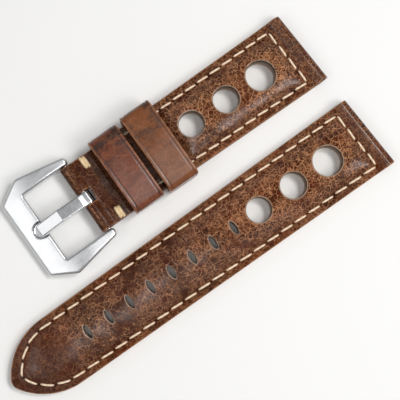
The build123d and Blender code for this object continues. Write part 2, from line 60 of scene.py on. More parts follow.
MM = 0.001
HALVES = ("tail", "buckle")

# Distances beyond FAR look alike. NIP is less than any gap between two lines of a grid, whose places
# have as many decimals as GRID_PLACES says. Points closer than MERGE become one, edges shorter than
# SLIVER go, and BLOCK is how many points are measured at a time.
FAR, NIP, GRID_PLACES, MERGE, SLIVER, BLOCK = 6.0 * MM, 0.0001 * MM, 6, 2e-6, 1e-7, 4000

# Soft waves: how many are added up, the shares by which their sizes differ, and their scale.
WAVE_COUNT, WAVE_PITCHES, WAVE_TURN, WAVE_SCALE = 5, (0.7, 1.6), 6.28, 1.4

# Faces that meet at no more than this many degrees are shaded as one smooth surface.
SMOOTH_UP_TO, STEEL_SMOOTH_UP_TO, ALL_SMOOTH = 40, 50, 180

# Round holes and slits: where they lie along a half, their sizes, how square their outlines are (2 is
# an ellipse), the square of the grid that is bent round each, and how far the bending reaches.
HOLE_FIRST, HOLE_PITCH = 15.0 * MM, 11.6 * MM
HOLE_DIAMETERS = (8.3 * MM, 7.3 * MM, 7.0 * MM)
HOLE_SQUARE, HOLE_POWER, HOLE_REACH = 3.0 * MM, 2.0, 1.7
SLIT_FIRST, SLIT_PITCH, SLIT_COUNT = 46.6 * MM, 6.93 * MM, 8
SLIT_LENGTH, SLIT_WIDTH = 4.2 * MM, 1.5 * MM
SLIT_SQUARE, SLIT_POWER, SLIT_REACH = (0.7 * MM, 1.9 * MM), 1.75, 2.5
RIM_RINGS = (0.0, 0.08 * MM, 0.18 * MM, 0.32 * MM, 0.55 * MM)

# Outline: the lug ends are cut askew, and a slot behind the buckle takes the tongue. The free keeper
# lies on the table with a gap, and the half leans on it.
LUG_SKEW, LUG_SKEW_FULL, LUG_SKEW_NONE = 0.055, 5.5 * MM, 14.0 * MM
SLOT_START, SLOT_HALF = 70.95 * MM, 1.95 * MM
LEAN_GAP = 0.1 * MM

# Steps of the grids of points. The rims' finer rings are drawn only where the step is short. Columns
# run straight in a middle band, and crowd towards the edge beside it.
LEATHER_STEP, CLOTH_STEP, PADDING_STEP, RINGS_BELOW = 0.5 * MM, 1.0 * MM, 0.9 * MM, 0.7 * MM
FOLD_STEP, FOLD_TURN_POINTS, FOLD_BACK_ROWS, CAP_RINGS = 0.35 * MM, 25, 5, 5
BAND, BAND_ROOM, BESIDE_BAND, CROWDING = 5.2 * MM, 1.5 * MM, 6.0 * MM, 1.7
NOSE_POINTS, NOSE_LAST = 16, math.pi / 2 - 0.09
SIDE_SEAM_POINTS, TIP_SEAM_POINTS, TIP_SEAM_START = 160, 14, 0.05
SHORT_SEAM_POINTS, CROSS_SEAM_POINTS = 60, 30

# The padded crown: how high it is at which share of its length, and the soft ranges at its foot.
TAIL_PLACE_SHARES = (0.0, 0.012, 0.036, 0.08, 0.32, 0.5, 0.83, 0.92, 0.965, 0.99)
TAIL_RISE_SHARES = (0.1, 0.5, 0.86, 1.0, 0.76, 0.54, 0.44, 0.38, 0.27, 0.1)
BUCKLE_PLACE_SHARES = (0.0, 0.035, 0.1, 0.22, 0.65, 0.9, 0.97, 1.0)
BUCKLE_RISE_SHARES = (0.1, 0.5, 0.86, 1.0, 0.8, 0.58, 0.36, 0.1)
CROWN_SOFTENING, CROWN_SAMPLES = 1.2 * MM, 7
CROWN_SIDE, CROWN_END, CROWN_SLOPE = (-0.45 * MM, 0.45 * MM), (-0.4 * MM, 0.6 * MM), (-0.6 * MM, 1.2 * MM)

# The skin: grooves along the stitching, soft waves as (size, height), and a ridge on the tab.
GROOVE_WIDTH, GROOVE_DEPTH, GROOVE_DIPS = 0.55 * MM, 0.13 * MM, 0.09 * MM
LONG_WAVES, SHORT_WAVES, WAVES_START = (17.0 * MM, 0.09 * MM), (5.0 * MM, 0.035 * MM), (0.2 * MM, 1.5 * MM)
WAVE_SEEDS = {"tail": (3, 5), "buckle": (8, 9)}
TAB_RIDGE, TAB_RIDGE_WIDTH, TAB_RIDGE_HEIGHT = 65.9 * MM, 0.55 * MM, 0.22 * MM
FOLD_RUN_OUT = 0.5 * MM

# Wear: how far the wax is cracked and pale on the flat and on the crown, near the lug end, at the
# tail's tip, on the tab and along the crest of the fold at the buckle. Near the lug end the extra pale
# also paints a sheen, and on the crest a highlight.
WORN_FULL, WORN_FLAT, WORN_CROWN = 0.8, 0.5, 0.45
WORN_LUG, WORN_LUG_RANGE = 0.75, (-1.5 * MM, 1.0 * MM)
LUG_WEAR_AND_SHEEN, LUG_WEAR_AND_SHEEN_FADES = 0.55, (30.0 * MM, 60.0 * MM)
SMOOTH_SHARE, TIP_SMOOTHS, TAB_SMOOTHS = 0.75, (97.0 * MM, 107.0 * MM), 4.0 * MM
CREST, CREST_WIDTH, CREST_WEAR_AND_HIGHLIGHT = 73.7 * MM, 0.3 * MM, 0.9
# The buckle fold's underside beyond the crest is darkened: painted shade.
CREST_PAINTED_SHADE = (CREST + 0.3 * MM, CREST + 1.1 * MM)

# Dark places: painted shade beside the seams, in the hollow at the crown's foot and weaker on the far
# side, then the darker burnish of the tail's tip and the tab.
DARK_RISES, DARK_FALLS = (-0.6 * MM, 0.2 * MM), (0.6 * MM, 2.6 * MM)
DARK_FAR_SIDE, DARK_FROM_SEAM = 0.55, 2.0 * MM
TIP_DARK, TIP_DARKENS = 0.85, (97.0 * MM, 108.0 * MM)
TAB_DARK, TAB_DARKENS = 0.8, (-5.0 * MM, 2.0 * MM)
CUT_PAINT, UNDER_TURN = 0.6, (1.0, 2.2)
HIDDEN_LEATHER = {"edge": 0.0, "rim": FAR, "seam": FAR, "under": 1.0}

# Polish: on the crown's slopes, on a streak across the tab and at the lug end.
SHINE_RISES, SHINE_FALLS, SHINE_DARK = (0.04, 0.2), (0.45, 0.85), 0.4
STREAK, STREAK_WIDTH = TAB_RIDGE + 0.4 * MM, 0.9 * MM
LUG_SHINE, LUG_SHINE_RUN = 0.5, 2.0 * MM

# Layers under the skin: how far the top leather wraps the cloth, its least thickness, the grooves for
# the stitches underneath, the gaps round cloth and padding, and how fine their fibres are.
WRAP_RANGE, LEATHER_LEAST = (0.3 * MM, 0.45 * MM), 0.5 * MM
UNDER_GROOVE, UNDER_GROOVE_WIDTH = 0.4 * MM, 0.5 * MM
CLOTH_INSET, PADDING_GAP, PADDING_LEAST = 0.5 * MM, 0.05 * MM, 0.06 * MM
CLOTH_FIBRES, LINING_FIBRES, PADDING_FIBRES = 2500.0, 900.0, 700.0

# Threads: how many points run along each, and how it narrows, dives in and lies askew.
CROSS_STITCHES, THREAD_SIDES, STITCH_POINTS = 4, 14, 19
PLY_SWELL, STITCH_TWIST = 0.07, 1.5 * MM
STITCH_SLANT, STITCH_SHIFT = math.radians(4), 0.04 * MM
STITCH_SEEDS, STITCH_SPREAD, STITCH_BLUNT, STITCH_DIVES = (40, 50), (0.95, 1.04), 0.55, (0.62, 1.0)
STITCH_DIVE, STITCH_RISE, UNDER_STITCH, UNDER_STITCH_SUNK = 1.1, 0.42, 0.85, 0.08 * MM
STITCH_RESTS = [3, 9, 15]
TACK_FROM_END, TACK_FROM_EDGE, TACK_LENGTH = 7.0 * MM, 0.4 * MM, 3.3 * MM
TACK_RADIUS, TACK_PITCH, TACK_TWIST, TACK_POINTS = 0.5 * MM, 0.85 * MM, 1.9 * MM, 17
TACK_STAGGER, TACK_ASKEW = 0.2 * MM, 0.06 * MM
TACK_BLUNT, TACK_DIVES, TACK_RISE, TACK_UNDER_SUNK = 0.8, (0.7, 1.0), 0.45, 0.3

# Keepers: travel and room inside, rounding, the pressed line near each edge, waves, and the painted
# shade on their +Y side.
KEEPER_TRAVEL, KEEPER_SIDE_GAP, KEEPER_TIGHT_GAP = 22.0 * MM, 0.3 * MM, 0.1 * MM
KEEPER_FOOT, KEEPER_EDGE_ROUND, KEEPER_ARCH_POINTS = 0.6 * MM, 0.32 * MM, 15
KEEPER_STEP, KEEPER_STEP_ACROSS, KEEPER_RIM = 0.35 * MM, 0.16 * MM, 0.35 * MM
KEEPER_CREASE, KEEPER_CREASE_DEPTH, KEEPER_CREASE_WIDTH = 1.0 * MM, 0.12 * MM, 0.2 * MM
KEEPER_SEEDS, KEEPER_WAVES = {"free": 21, "fixed": 27}, (9.0 * MM, 0.05 * MM)
KEEPER_WAVES_START, KEEPER_SHADE = 1.0 * MM, (1.0 * MM, 8.0 * MM)

# Buckle frame: points between its corners and from the opening outwards, roundings, and the notch.
FRAME_COUNTS, FRAME_COLUMNS, FRAME_STEP = (14, 60, 80, 80, 60, 14), 31, 0.1 * MM
ARM_ROUND, OPENING_ROUND, CORNER_ROUND = 1.05 * MM, 0.5 * MM, 1.2 * MM
FRAME_UNDER_ROUND = 0.45 * MM
NOTCH_DEPTH, NOTCH_PAST_TIP, NOTCH_SIDE = 0.88 * MM, 1.3 * MM, 0.3 * MM
NOTCH_SOFT, NOTCH_SLOPE = 0.3 * MM, 4.5

# Tongue: its eye round the spring bar, its section, and where it thins towards the eye.
TONGUE_EYE, TONGUE_EYE_GAP, TONGUE_TIP_ROUND = 1.55 * MM, 0.05 * MM, 0.9 * MM
TONGUE_PROUD, TONGUE_SECTION, TONGUE_SIDES = 0.22 * MM, 0.22, 56
TONGUE_EYE_TURN, TONGUE_EYE_STEPS, TONGUE_THINS = math.radians(285), 120, (-2.2 * MM, -0.6 * MM)
TONGUE_RIDGE_ROUND, TONGUE_STEP = 0.35 * MM, 0.12 * MM

# Steels as (share of the steel's colour, smoothest, roughest, stretch of the scratches).
FRAME_STEEL = (1.0, 0.26, 0.36, (0.05, 1.0, 1.0))
# The tongue's steel is a darker copy of the frame's steel: painted shade.
TONGUE_STEEL = (0.74, 0.18, 0.26, (1.0, 0.12, 1.0))
TURNED_STEEL = (0.8, 0.25, 0.35, (1.0, 0.1, 1.0))

# Leather's patterns. Scales are in cells or waves a metre. Crackle is (scale, width of its lines), and
# creases are (scale, roughness, warp, width, strength). Noise is (scale, detail, roughness, warp), and
# patches are (scale, detail, low, high, share at low, share at high, roughness, warp).
CRACKLE_CELLS = ((420.0, 0.038), (900.0, 0.066), (1900.0, 0.12))
CRACKLE_PATCHES = ((160.0, 2.0, 0.36, 0.5), (210.0, 3.0, 0.4, 0.55, 0.0, 0.9), (260.0, 3.0, 0.4, 0.6, 0.0, 0.25))
CRACKLE_WARP, WARP_DETAIL, WARP_REACH, CRACKLE_SOFT = 450.0, 3.0, 0.9 * MM, 0.3
CRACKLE_BREAKS = (1300.0, 2.0, 0.3, 0.5, 0.3, 1.0)
CREASE_DETAIL, CREASES = 4.0, (150.0, 0.6, 0.8, (0.002, 0.009), 1.0)
THIN_CREASES, THIN_PATCHES = (420.0, 0.55, 0.6, (0.004, 0.016), 0.7), (130.0, 2.0, 0.4, 0.55)
DYE_CLOUDS, DYE_BLOTCHES = (90.0, 4.0, 0.4, 0.65, 0.0, 1.0, 0.6), (140.0, 5.0, 0.47, 0.64, 0.0, 1.0, 0.62, 0.5)
DYE_SPECKS, DYE_MOTTLE = (850.0, 4.0, 0.5, 0.6, 0.0, 1.0, 0.65), (1700.0, 3.0, 0.3, 0.7, -0.45, 0.5, 0.7)
GRAIN_CELLS, GRAIN_PORES, GRAIN_SHARES = 1500.0, (3200.0, 2.0), (0.35, 0.25, 1.1)
GRAIN_CREASES, GRAIN_STRETCH, GRAIN_TURN = (260.0, 4.0, 0.6, 0.8), (0.6, 1.0, 1.0), 0.6

# The strap's leather: how large its crackle is, how much of each tone it takes, and over which
# distances from an edge or rim a tone fades.
STRAP_CRACKLE, CRACKS_ALWAYS, CRACKS_WHERE_WEAR_AND_HIGHLIGHT, CRACK_DEPTH = 1.3, 0.2, 0.68, -0.55
# The darkened places are painted shade beside the seams and a darker burnish at the tip and tab: they take fewer
# blotches, patches of the dark tone and less roughness.
STRAP_BLOTCHES, BLOTCHES_WHERE_BURNISH_AND_SHADE = 0.9, -0.5
BURNISH_AND_SHADE_PATCHES, BURNISH_AND_SHADE_SHARE = (210.0, 4.0, 0.34, 0.6, 0.45, 1.0), 0.85
# The stitch pits are painted shade in the stitch holes.
STITCH_PIT, PIT_SHARE = (0.2 * MM, 0.45 * MM), 0.75
# Pale rings round the holes and pale lines along the outer edges: wear, with a painted highlight on the rounded rims
# and edges.
RIM_PALE, RIM_PATCHES = (0.22 * MM, 0.5 * MM), (500.0, 3.0, 0.3, 0.6, 0.3, 0.85)
EDGE_PALE, EDGE_PATCHES = (0.12 * MM, 0.5 * MM), (500.0, 3.0, 0.36, 0.62, 0.1, 0.6)
EDGE_WALL, RIM_WALL, PAINT_SHARE = (0.01 * MM, 0.1 * MM), (0.0, 0.12 * MM), 0.95
STRAP_ROUGH, ROUGH_NOISE, ROUGH_SHARE, ROUGH_WHERE_BURNISH_AND_SHADE = 0.25, (240.0, 4.0), 0.3, -0.16
COAT_PATCHES = (200.0, 3.0, 0.3, 0.6, 0.35, 1.0)

# The keepers' leather, and how much of the crackle and of the pressed line shows on each.
KEEPER_CRACKLE, KEEPER_CRACK_DEPTH, KEEPER_BLOTCHES, KEEPER_MOTTLE = 0.45, -0.4, 0.2, 0.3
KEEPER_STREAKS, STREAK_STRETCH = (480.0, 5.0, 0.6, 0.5), (0.3, 1.0, 1.0)
STREAK_FADE, STREAK_SHARE = (0.45, 0.7), 0.35
# Patches of painted shade on the keepers' +Y side; the pale keeper edges are wear with a painted highlight.
KEEPER_SHADE_PATCHES, SHADE_PATCH_FADE, SHADE_PATCH_SHARE = (260.0, 4.0), (0.44, 0.56), 0.75
KEEPER_EDGE_PALE, KEEPER_EDGE_PATCHES = (0.1 * MM, 0.55 * MM), (500.0, 3.0, 0.35, 0.6, 0.1, 0.5)
KEEPER_ROUGH = (240.0, 4.0, 0.3, 0.7, 0.26, 0.46)
FREE_LOOK, FIXED_LOOK = (0.1, 0.3), (0.13, 0.75)

# Inner layers, threads and steel. Tints are shares of the base colour.
FIBRE_NOISE, FIBRE_TINT, FIBRE_FADE = (4.0, 0.7), 0.7, (0.3, 0.7)
# Threads: painted shade between the plies and towards the ends where they dive in, and dirt.
PLY_VALLEY, VALLEY_SHARE, VALLEY_TINT = 0.16, 0.5, 0.35
THREAD_DIRT, DIRT_SHARE, DIRT_TINT = (700.0, 3.0, 0.45, 0.75), 0.35, (0.7, 0.55, 0.42)
THREAD_DIVE, DIVE_SHARE, DIVE_TINT = (0.55, 1.0), 0.75, (0.3, 0.2, 0.14)
SCRATCHES, STEEL_CLOUDS, STEEL_SHARES = (5000.0, 3.0, 0.6), (300.0, 2.0), (0.6, 0.4)
STEEL_FADE, SCRATCH_TINT = (0.3, 0.7), 0.93
INNER_ROUGH, THREAD_ROUGH, FLOOR_ROUGH = 0.85, 0.5, 0.9

# Relief as (height, strength).
STRAP_BUMP, KEEPER_BUMP, STEEL_BUMP = (0.055 * MM, 1.0), (0.03 * MM, 0.8), (0.002 * MM, 0.5)
FIBRE_BUMP, THREAD_BUMP = (0.1 * MM, 0.8), (0.06 * MM, 0.8)

# Stage: each lamp as (size, place). It faces the origin.
FLOOR_REACH, FOCUS_HEIGHT, CAMERA_CLIP, PICTURE_POINTS = 3.0, 3.0 * MM, (10 * MM, 20.0), 400
LAMPS = {"key": (120 * MM, (260 * MM, -30 * MM, 500 * MM)), "side": (240 * MM, (220 * MM, -260 * MM, 500 * MM)),
         "left": (280 * MM, (-400 * MM, 60 * MM, 460 * MM)), "top": (120 * MM, (-35 * MM, -60 * MM, 500 * MM))}


def length(name, millimetres, about):
    """A length that the user can change."""
    return FloatProperty(name=name, description=about, default=millimetres * MM, unit="LENGTH", precision=5)


def power(name, watts, about):
    """A lamp's power that the user can change."""
    return FloatProperty(name=name, description=about, default=watts, min=0, unit="POWER")


def colour(name, value, about):
    """A colour that the user can change."""
    return FloatVectorProperty(name=name, description=about, default=value, size=3, min=0, max=1, subtype="COLOR")


class StrapSizes(bpy.types.PropertyGroup):
    """Sizes of both leather halves"""
    lug_width: length("Lug width", 22.0, "Width at the end that meets the watch")
    end_width: length("End width", 20.4, "Width where the straight taper ends")
    tail_length: length("Tail length", 120.0, "Length of the half with the slits")
    buckle_length: length("Buckle half length", 75.0, "Length of the half with the buckle")
    tip_taper: length("Tip taper", 16.0, "Length of the tail's pointed part")
    tip_nose: length("Tip nose", 3.0, "Radius of the tail's point")
    thickness: length("Thickness", 3.0, "Thickness of the leather beside the crown")
    lining: length("Lining", 1.2, "Thickness of the underside leather")
    sheet: length("Reinforcement", 0.3, "Thickness of the cloth between the leathers")
    crown: length("Crown", 2.2, "Height of the padded crown over the flat leather")
    fold: length("Fold radius", 2.0, "Outer radius of the leather folded round a spring bar")
    bore: length("Bore radius", 1.0, "Radius of the tunnel for a spring bar")
    fold_length: length("Fold length", 4.3, "How far from the end the fold runs out")
    edge_round: length("Edge round", 0.55, "Rounding of the upper edges")
    fold_edge: length("Fold edge", 0.22, "Rounding of the folds' cut sides and of the lower edges")
    rim_round: length("Rim round", 0.38, "Rounding of the edges of the holes")
    seam_margin: length("Seam margin", 2.15, "Distance of the stitching from the edge")
    tail_cross_seam: length("Tail cross seam", 4.8, "Distance of the tail's cross stitches from the lug end")
    buckle_cross_seam: length("Buckle cross seam", 5.5, "The same on the buckle half")
    seam_tip: length("Seam tip inset", 3.5, "Distance of the stitching from the tail's point")
    seam_nose: length("Seam nose", 2.5, "Radius of the stitching round the point")
    seam_gap: length("Seam to padding", 0.8, "From the stitching to the foot of the crown")
    stitch_gap: length("Stitch gap", 0.62, "From the end of one stitch to the start of the next")
    thread: length("Thread radius", 0.3, "Radius of the thread")
    tail_pitch: length("Tail stitch pitch", 4.6, "From one stitch to the next on the tail")
    buckle_pitch: length("Buckle stitch pitch", 4.28, "From one stitch to the next on the buckle half")


class KeeperSizes(bpy.types.PropertyGroup):
    """Sizes of the two keepers"""
    free_start: length("Free keeper start", 44.5, "Distance of the free keeper from the lug end")
    free_length: length("Free keeper width", 9.3, "Width of the free keeper's band")
    fixed_start: length("Fixed keeper start", 55.5, "Distance of the fixed keeper from the lug end")
    fixed_length: length("Fixed keeper width", 9.1, "Width of the fixed keeper's band")
    leather: length("Keeper leather", 1.1, "Thickness of the keepers' leather")
    room: length("Keeper room", 5.0, "Height inside the loops over the leather")
    arch: length("Keeper arch", 0.9, "Rise of the loops' upper side")
    shoulder: length("Keeper shoulder", 2.4, "Radius of the loops' upper corners")


class BuckleSizes(bpy.types.PropertyGroup):
    """Sizes of the steel buckle, measured from the axis of its spring bar"""
    reach: length("Frame reach", 20.6, "From the spring bar to the frame's front")
    heel: length("Frame heel", 1.2, "From the spring bar to the ends of the arms")
    width: length("Frame width", 31.1, "Greatest width over the arms")
    front: length("Frame front", 23.2, "Width of the front edge between the cut corners")
    corner: length("Frame corner", 7.2, "Length of the cut corners")
    heel_width: length("Heel width", 25.6, "Width over the ends of the arms")
    bar: length("Front bar", 6.6, "Width of the front bar")
    thick: length("Frame thickness", 2.8, "Thickness of the frame")
    curve: length("Frame curve", 45.0, "Radius of the frame's curve along the wrist")
    inner: length("Frame opening", 21.0, "Width between the arms")
    soft_edge: length("Soft edge", 0.75, "Rounding of the frame's upper edges")
    tongue_width: length("Tongue width", 3.4, "Width of the tongue")
    tongue_reach: length("Tongue reach", 16.0, "From the spring bar to the tongue's tip")
    tongue_ridge: length("Tongue ridge", 7.4, "From the tongue's tip to its ridge")
    ridge_height: length("Ridge height", 2.9, "Height of the ridge over the spring bar's axis")
    tongue_thick: length("Tongue thickness", 0.95, "Thickness of the tongue")


class StrapColours(bpy.types.PropertyGroup):
    """Colours of the leathers, threads and metals"""
    # Some colours also paint light and shade: Burnished brown the shade beside the seams and under the buckle's fold
    # as well as the burnish, Dark brown the shade in the stitch holes and on the keepers' +Y side, and Pale tan and
    # Hole rim highlights on rounded edges and rims, Pale tan also a sheen near the lug ends.
    brown: colour("Brown", (0.052, 0.0112, 0.0028), "Middle brown of the strap leather")
    dark: colour("Dark brown", (0.008, 0.0025, 0.0015), "Blotches and burnished places")
    burnish_and_shade_tone: colour("Burnished brown", (0.042, 0.0105, 0.0045), "Smooth dark places: tip, tab and beside the seams")
    pale: colour("Pale tan", (0.5, 0.23, 0.11), "Lines of the crackle and worn edges")
    red: colour("Red brown", (0.095, 0.019, 0.004), "Warmer places of the leather")
    tan: colour("Tan", (0.19, 0.056, 0.013), "Free keeper")
    keeper_red: colour("Keeper red brown", (0.16, 0.038, 0.013), "Fixed keeper")
    lining: colour("Lining", (0.42, 0.26, 0.16), "Underside leather")
    cloth: colour("Cloth", (0.6, 0.56, 0.5), "Reinforcement between the leathers")
    padding: colour("Padding", (0.3, 0.2, 0.14), "Padding under the crown")
    rim: colour("Hole rim", (0.42, 0.3, 0.22), "Greyish worn edge of the holes")
    paint: colour("Edge paint", (0.008, 0.006, 0.005), "Painted walls of the holes")
    thread: colour("Thread", (0.93, 0.74, 0.54), "Saddle stitches")
    tack: colour("Tack thread", (0.85, 0.65, 0.38), "Bar tacks beside the buckle")
    steel: colour("Steel", (0.72, 0.73, 0.74), "Buckle and spring bar")
    floor: colour("Floor", (0.9, 0.895, 0.88), "Pale floor")


class StageSettings(bpy.types.PropertyGroup):
    """Camera and light"""
    camera_distance: length("Camera distance", 270.0, "From the camera to the point it looks at")
    focus_x: length("Focus X", 10.35, "Point that the camera looks at, along X")
    focus_y: length("Focus Y", -5.6, "Point that the camera looks at, along Y")
    roll: FloatProperty(name="Roll", description="Turn of the picture about the line of sight",
                        default=math.radians(-35.45), subtype="ANGLE")
    tilt_up: FloatProperty(name="Tilt up", description="Lean of the camera towards the picture's foot",
                           default=math.radians(3.5), subtype="ANGLE")
    tilt_right: FloatProperty(name="Tilt right", description="Lean of the camera towards the picture's right",
                              default=math.radians(-1.5), subtype="ANGLE")
    pixels_per_metre: FloatProperty(name="Scale", description="Picture points a metre at the focus, of 400 across",
                                    default=3645.0)
    key: power("Key light", 1.1, "Light over the watch's end, which the tongue and the crowns mirror")
    side: power("Side light", 1.1, "Wide light from the near side")
    left: power("Left light", 0.4, "Low light that the buckle's front bar mirrors")
    top: power("Top light", 0.2, "Small light overhead, for the keepers and the arms' ends")
    sky: FloatProperty(name="Sky light", description="Strength of the white surroundings", default=0.34, min=0)


def settings():
    """The sizes, keeper sizes, buckle sizes, colours and stage settings of this scene."""
    scene = bpy.context.scene
    return scene.strap_sizes, scene.keeper_sizes, scene.buckle_sizes, scene.strap_colours, scene.stage_settings


# Numbers and curves

def ease(low, high, value):
    """0 up to low, 1 from high, and between them t squared times (3 - 2t)."""
    t = np.clip((value - low) / (high - low), 0, 1)
    return t * t * (3 - 2 * t)


def lines(breaks, step):
    """Grid lines through every break, and evenly between breaks at most a step apart."""
    breaks = sorted(breaks)
    spans = [np.linspace(a, b, max(1, math.ceil((b - a) / step)), endpoint=False)
             for a, b in zip(breaks, breaks[1:])]
    return np.concatenate(spans + [breaks[-1:]])


def rounded_drop(away, radius):
    """How far a rounded edge lies under the flat: radius minus the height of a quarter circle."""
    inside = np.clip(radius - away, 0, radius)
    return radius - np.sqrt(radius ** 2 - inside ** 2)


def unit(vectors):
    """Vectors made one long."""
    return vectors / np.maximum(np.linalg.norm(vectors, axis=-1, keepdims=True), 1e-12)


def headings(points, axis):
    """Directions along lines of points, each one long."""
    return unit(np.gradient(points, axis=axis))


def bell(value, width):
    """A bell over the value: 1 at zero, falling to 0 within about twice the width."""
    return np.exp(-(value / width) ** 2)


def waves(x, y, seed, size):
    """Smooth uneven height between about -1 and 1: sines of several directions, added up."""
    rng = np.random.default_rng(seed)
    total = np.zeros(np.broadcast(x, y).shape)
    for angle, phase, pitch in zip(rng.uniform(0, math.pi, WAVE_COUNT), rng.uniform(0, WAVE_TURN, WAVE_COUNT),
                                   rng.uniform(*WAVE_PITCHES, WAVE_COUNT)):
        run = x * math.cos(angle) + y * math.sin(angle)
        total = total + np.sin(run / (size * pitch) * WAVE_TURN + phase)
    return total / WAVE_COUNT * WAVE_SCALE


def walk(points):
    """Distance along a line of points, from its start."""
    return np.concatenate([[0], np.cumsum(np.linalg.norm(np.diff(points, axis=0), axis=1))])


def at(points, distances):
    """Points on a line of points, at distances along it."""
    run = walk(points)
    return np.stack([np.interp(distances, run, column) for column in points.T], -1)


def rounded_line(corners, radii, closed, step):
    """A line through corners, each cut by an arc of its radius tangent to both its runs."""
    corners = np.asarray(corners, float)
    count = len(corners)
    found = []
    for k in range(count):
        here = corners[k]
        if radii[k] <= 0 or (not closed and k in (0, count - 1)):
            found.append(here[None])
            continue
        back, ahead = corners[k - 1] - here, corners[(k + 1) % count] - here
        back, ahead = back / np.linalg.norm(back), ahead / np.linalg.norm(ahead)
        half = math.acos(np.clip(back @ ahead, -1, 1)) / 2
        centre = here + (back + ahead) / np.linalg.norm(back + ahead) * radii[k] / math.sin(half)
        start, end = here + back * radii[k] / math.tan(half), here + ahead * radii[k] / math.tan(half)
        turn = math.pi - 2 * half
        t = np.linspace(0, 1, max(3, math.ceil(radii[k] * turn / step) + 1))[:, None]
        arm, side = start - centre, end - centre
        arc = (arm * np.sin((1 - t) * turn) + side * np.sin(t * turn)) / math.sin(turn)
        found.append(centre + arc)
    line = np.concatenate(found)
    if closed:
        line = np.concatenate([line, line[:1]])
    run = walk(line)
    line = line[np.concatenate([[True], np.diff(run) > 1e-9])]
    run = walk(line)
    return at(line, np.unique(np.concatenate([run, np.arange(0, run[-1], step)])))


def nearest(points, line):
    """For each point, its distance to a line of points and how far along the line that is."""
    start, step = line[:-1], np.diff(line, axis=0)
    run, size = walk(line)[:-1], np.maximum((step ** 2).sum(1), 1e-18)
    away, along = np.full(len(points), 1e9), np.zeros(len(points))
    for block in np.array_split(np.arange(len(points)), max(1, len(points) // BLOCK)):
        offset = points[block, None] - start
        t = np.clip((offset * step).sum(2) / size, 0, 1)
        gap = np.linalg.norm(offset - t[..., None] * step, axis=2)
        best = gap.argmin(1)
        pick = np.arange(len(block)), best
        away[block] = gap[pick]
        along[block] = run[best] + t[pick] * np.sqrt(size[best])
    return away, along


# Meshes

def quads(rows, columns, round_rows=False, round_columns=False):
    """Corner numbers of the faces between neighbouring rows and columns of a grid of points."""
    grid = np.arange(rows * columns).reshape(rows, columns)
    if round_rows:
        grid = np.concatenate([grid, grid[:1]])
    if round_columns:
        grid = np.concatenate([grid, grid[:, :1]], 1)
    return np.stack([grid[:-1, :-1], grid[1:, :-1], grid[1:, 1:], grid[:-1, 1:]], -1).reshape(-1, 4)


class Surface:
    """Points, faces and fields of a piece while it is put together."""

    def __init__(self):
        self.points, self.faces, self.fields, self.count = [], [], {}, 0

    def add(self, points, faces, **fields):
        """Adds points and the faces between them, numbered from their own first point."""
        points = np.asarray(points, float).reshape(-1, 3)
        self.points.append(points)
        self.faces.append(np.asarray(faces).reshape(-1, 4) + self.count)
        for name in sorted(set(fields) | set(self.fields)):
            rows = self.fields.setdefault(name, [np.zeros(self.count)] if self.count else [])
            rows.append(np.broadcast_to(fields.get(name, 0.0), (len(points),)).astype(float).ravel())
        self.count += len(points)

    def mesh(self, name):
        """The points, faces and fields as a mesh."""
        points = np.concatenate(self.points)
        faces = np.concatenate(self.faces)
        mesh = bpy.data.meshes.new(name)
        mesh.vertices.add(len(points))
        mesh.vertices.foreach_set("co", points.astype(np.float32).ravel())
        mesh.loops.add(faces.size)
        mesh.loops.foreach_set("vertex_index", faces.astype(np.int32).ravel())
        mesh.polygons.add(len(faces))
        mesh.polygons.foreach_set("loop_start", np.arange(0, faces.size, 4, dtype=np.int32))
        mesh.update(calc_edges=True)
        for field, rows in self.fields.items():
            layer = mesh.attributes.new(field, "FLOAT", "POINT")
            layer.data.foreach_set("value", np.concatenate(rows).astype(np.float32))
        return mesh

    def piece(self, name, body, nodes, slot, material, place, smooth_up_to=SMOOTH_UP_TO):
        """The finished object: merged, faces outwards, smooth where faces meet at no more than that angle."""
        mesh = self.mesh(name)
        mesh.transform(place)
        close_up(mesh)
        mesh.shade_smooth()
        mesh.set_sharp_from_angle(angle=math.radians(smooth_up_to))
        mesh.materials.append(material)
        made = bpy.data.objects.new(name, mesh)
        bpy.context.scene.collection.objects.link(made)
        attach(made, body)
        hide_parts(*nodes)
        return made


def close_up(mesh):
    """Merges points that touch, drops loose points and slivers, and turns all faces outwards."""
    shell = bmesh.new()
    shell.from_mesh(mesh)
    bmesh.ops.remove_doubles(shell, verts=shell.verts, dist=MERGE)
    bmesh.ops.delete(shell, geom=[v for v in shell.verts if not v.link_faces], context="VERTS")
    bmesh.ops.dissolve_degenerate(shell, edges=shell.edges, dist=SLIVER)
    bmesh.ops.recalc_face_normals(shell, faces=shell.faces)
    shell.to_mesh(mesh)
    shell.free()


def sheet_faces(rows, columns, keep, open_rows=()):
    """Faces of a sheet and its twin below, with walls round its outline and round what isn't kept.

    A row that is named as open gets no wall: there the sheet runs on into a fold.
    """
    top = quads(rows, columns).reshape(rows - 1, columns - 1, 4)[keep]
    edges = np.concatenate([top[:, [k, (k + 1) % 4]] for k in range(4)])
    key = edges.min(1) * rows * columns + edges.max(1)
    _, first, times = np.unique(key, return_index=True, return_counts=True)
    rim = edges[first[times == 1]]
    row = rim // columns
    rim = rim[~((row[:, 0] == row[:, 1]) & np.isin(row[:, 0], open_rows))]
    below = rows * columns
    walls = np.stack([rim[:, 1], rim[:, 0], rim[:, 0] + below, rim[:, 1] + below], 1)
    return np.concatenate([top, top[:, ::-1] + below, walls])


# The leather halves

def taper(along, inset=0.0, straight=None):
    """Half the width on the straight taper: it falls evenly from the lug width to the end width."""
    sizes = settings()[0]
    straight = straight or sizes.buckle_length
    return (sizes.lug_width - (sizes.lug_width - sizes.end_width) * along / straight) / 2 - inset


def tip_arc(half, run, nose):
    """Radius and centre height of the flank: an arc tangent to the side and to the nose circle."""
    radius = ((run - nose) ** 2 + half ** 2 - nose ** 2) / (2 * (half - nose))
    return radius, half - radius


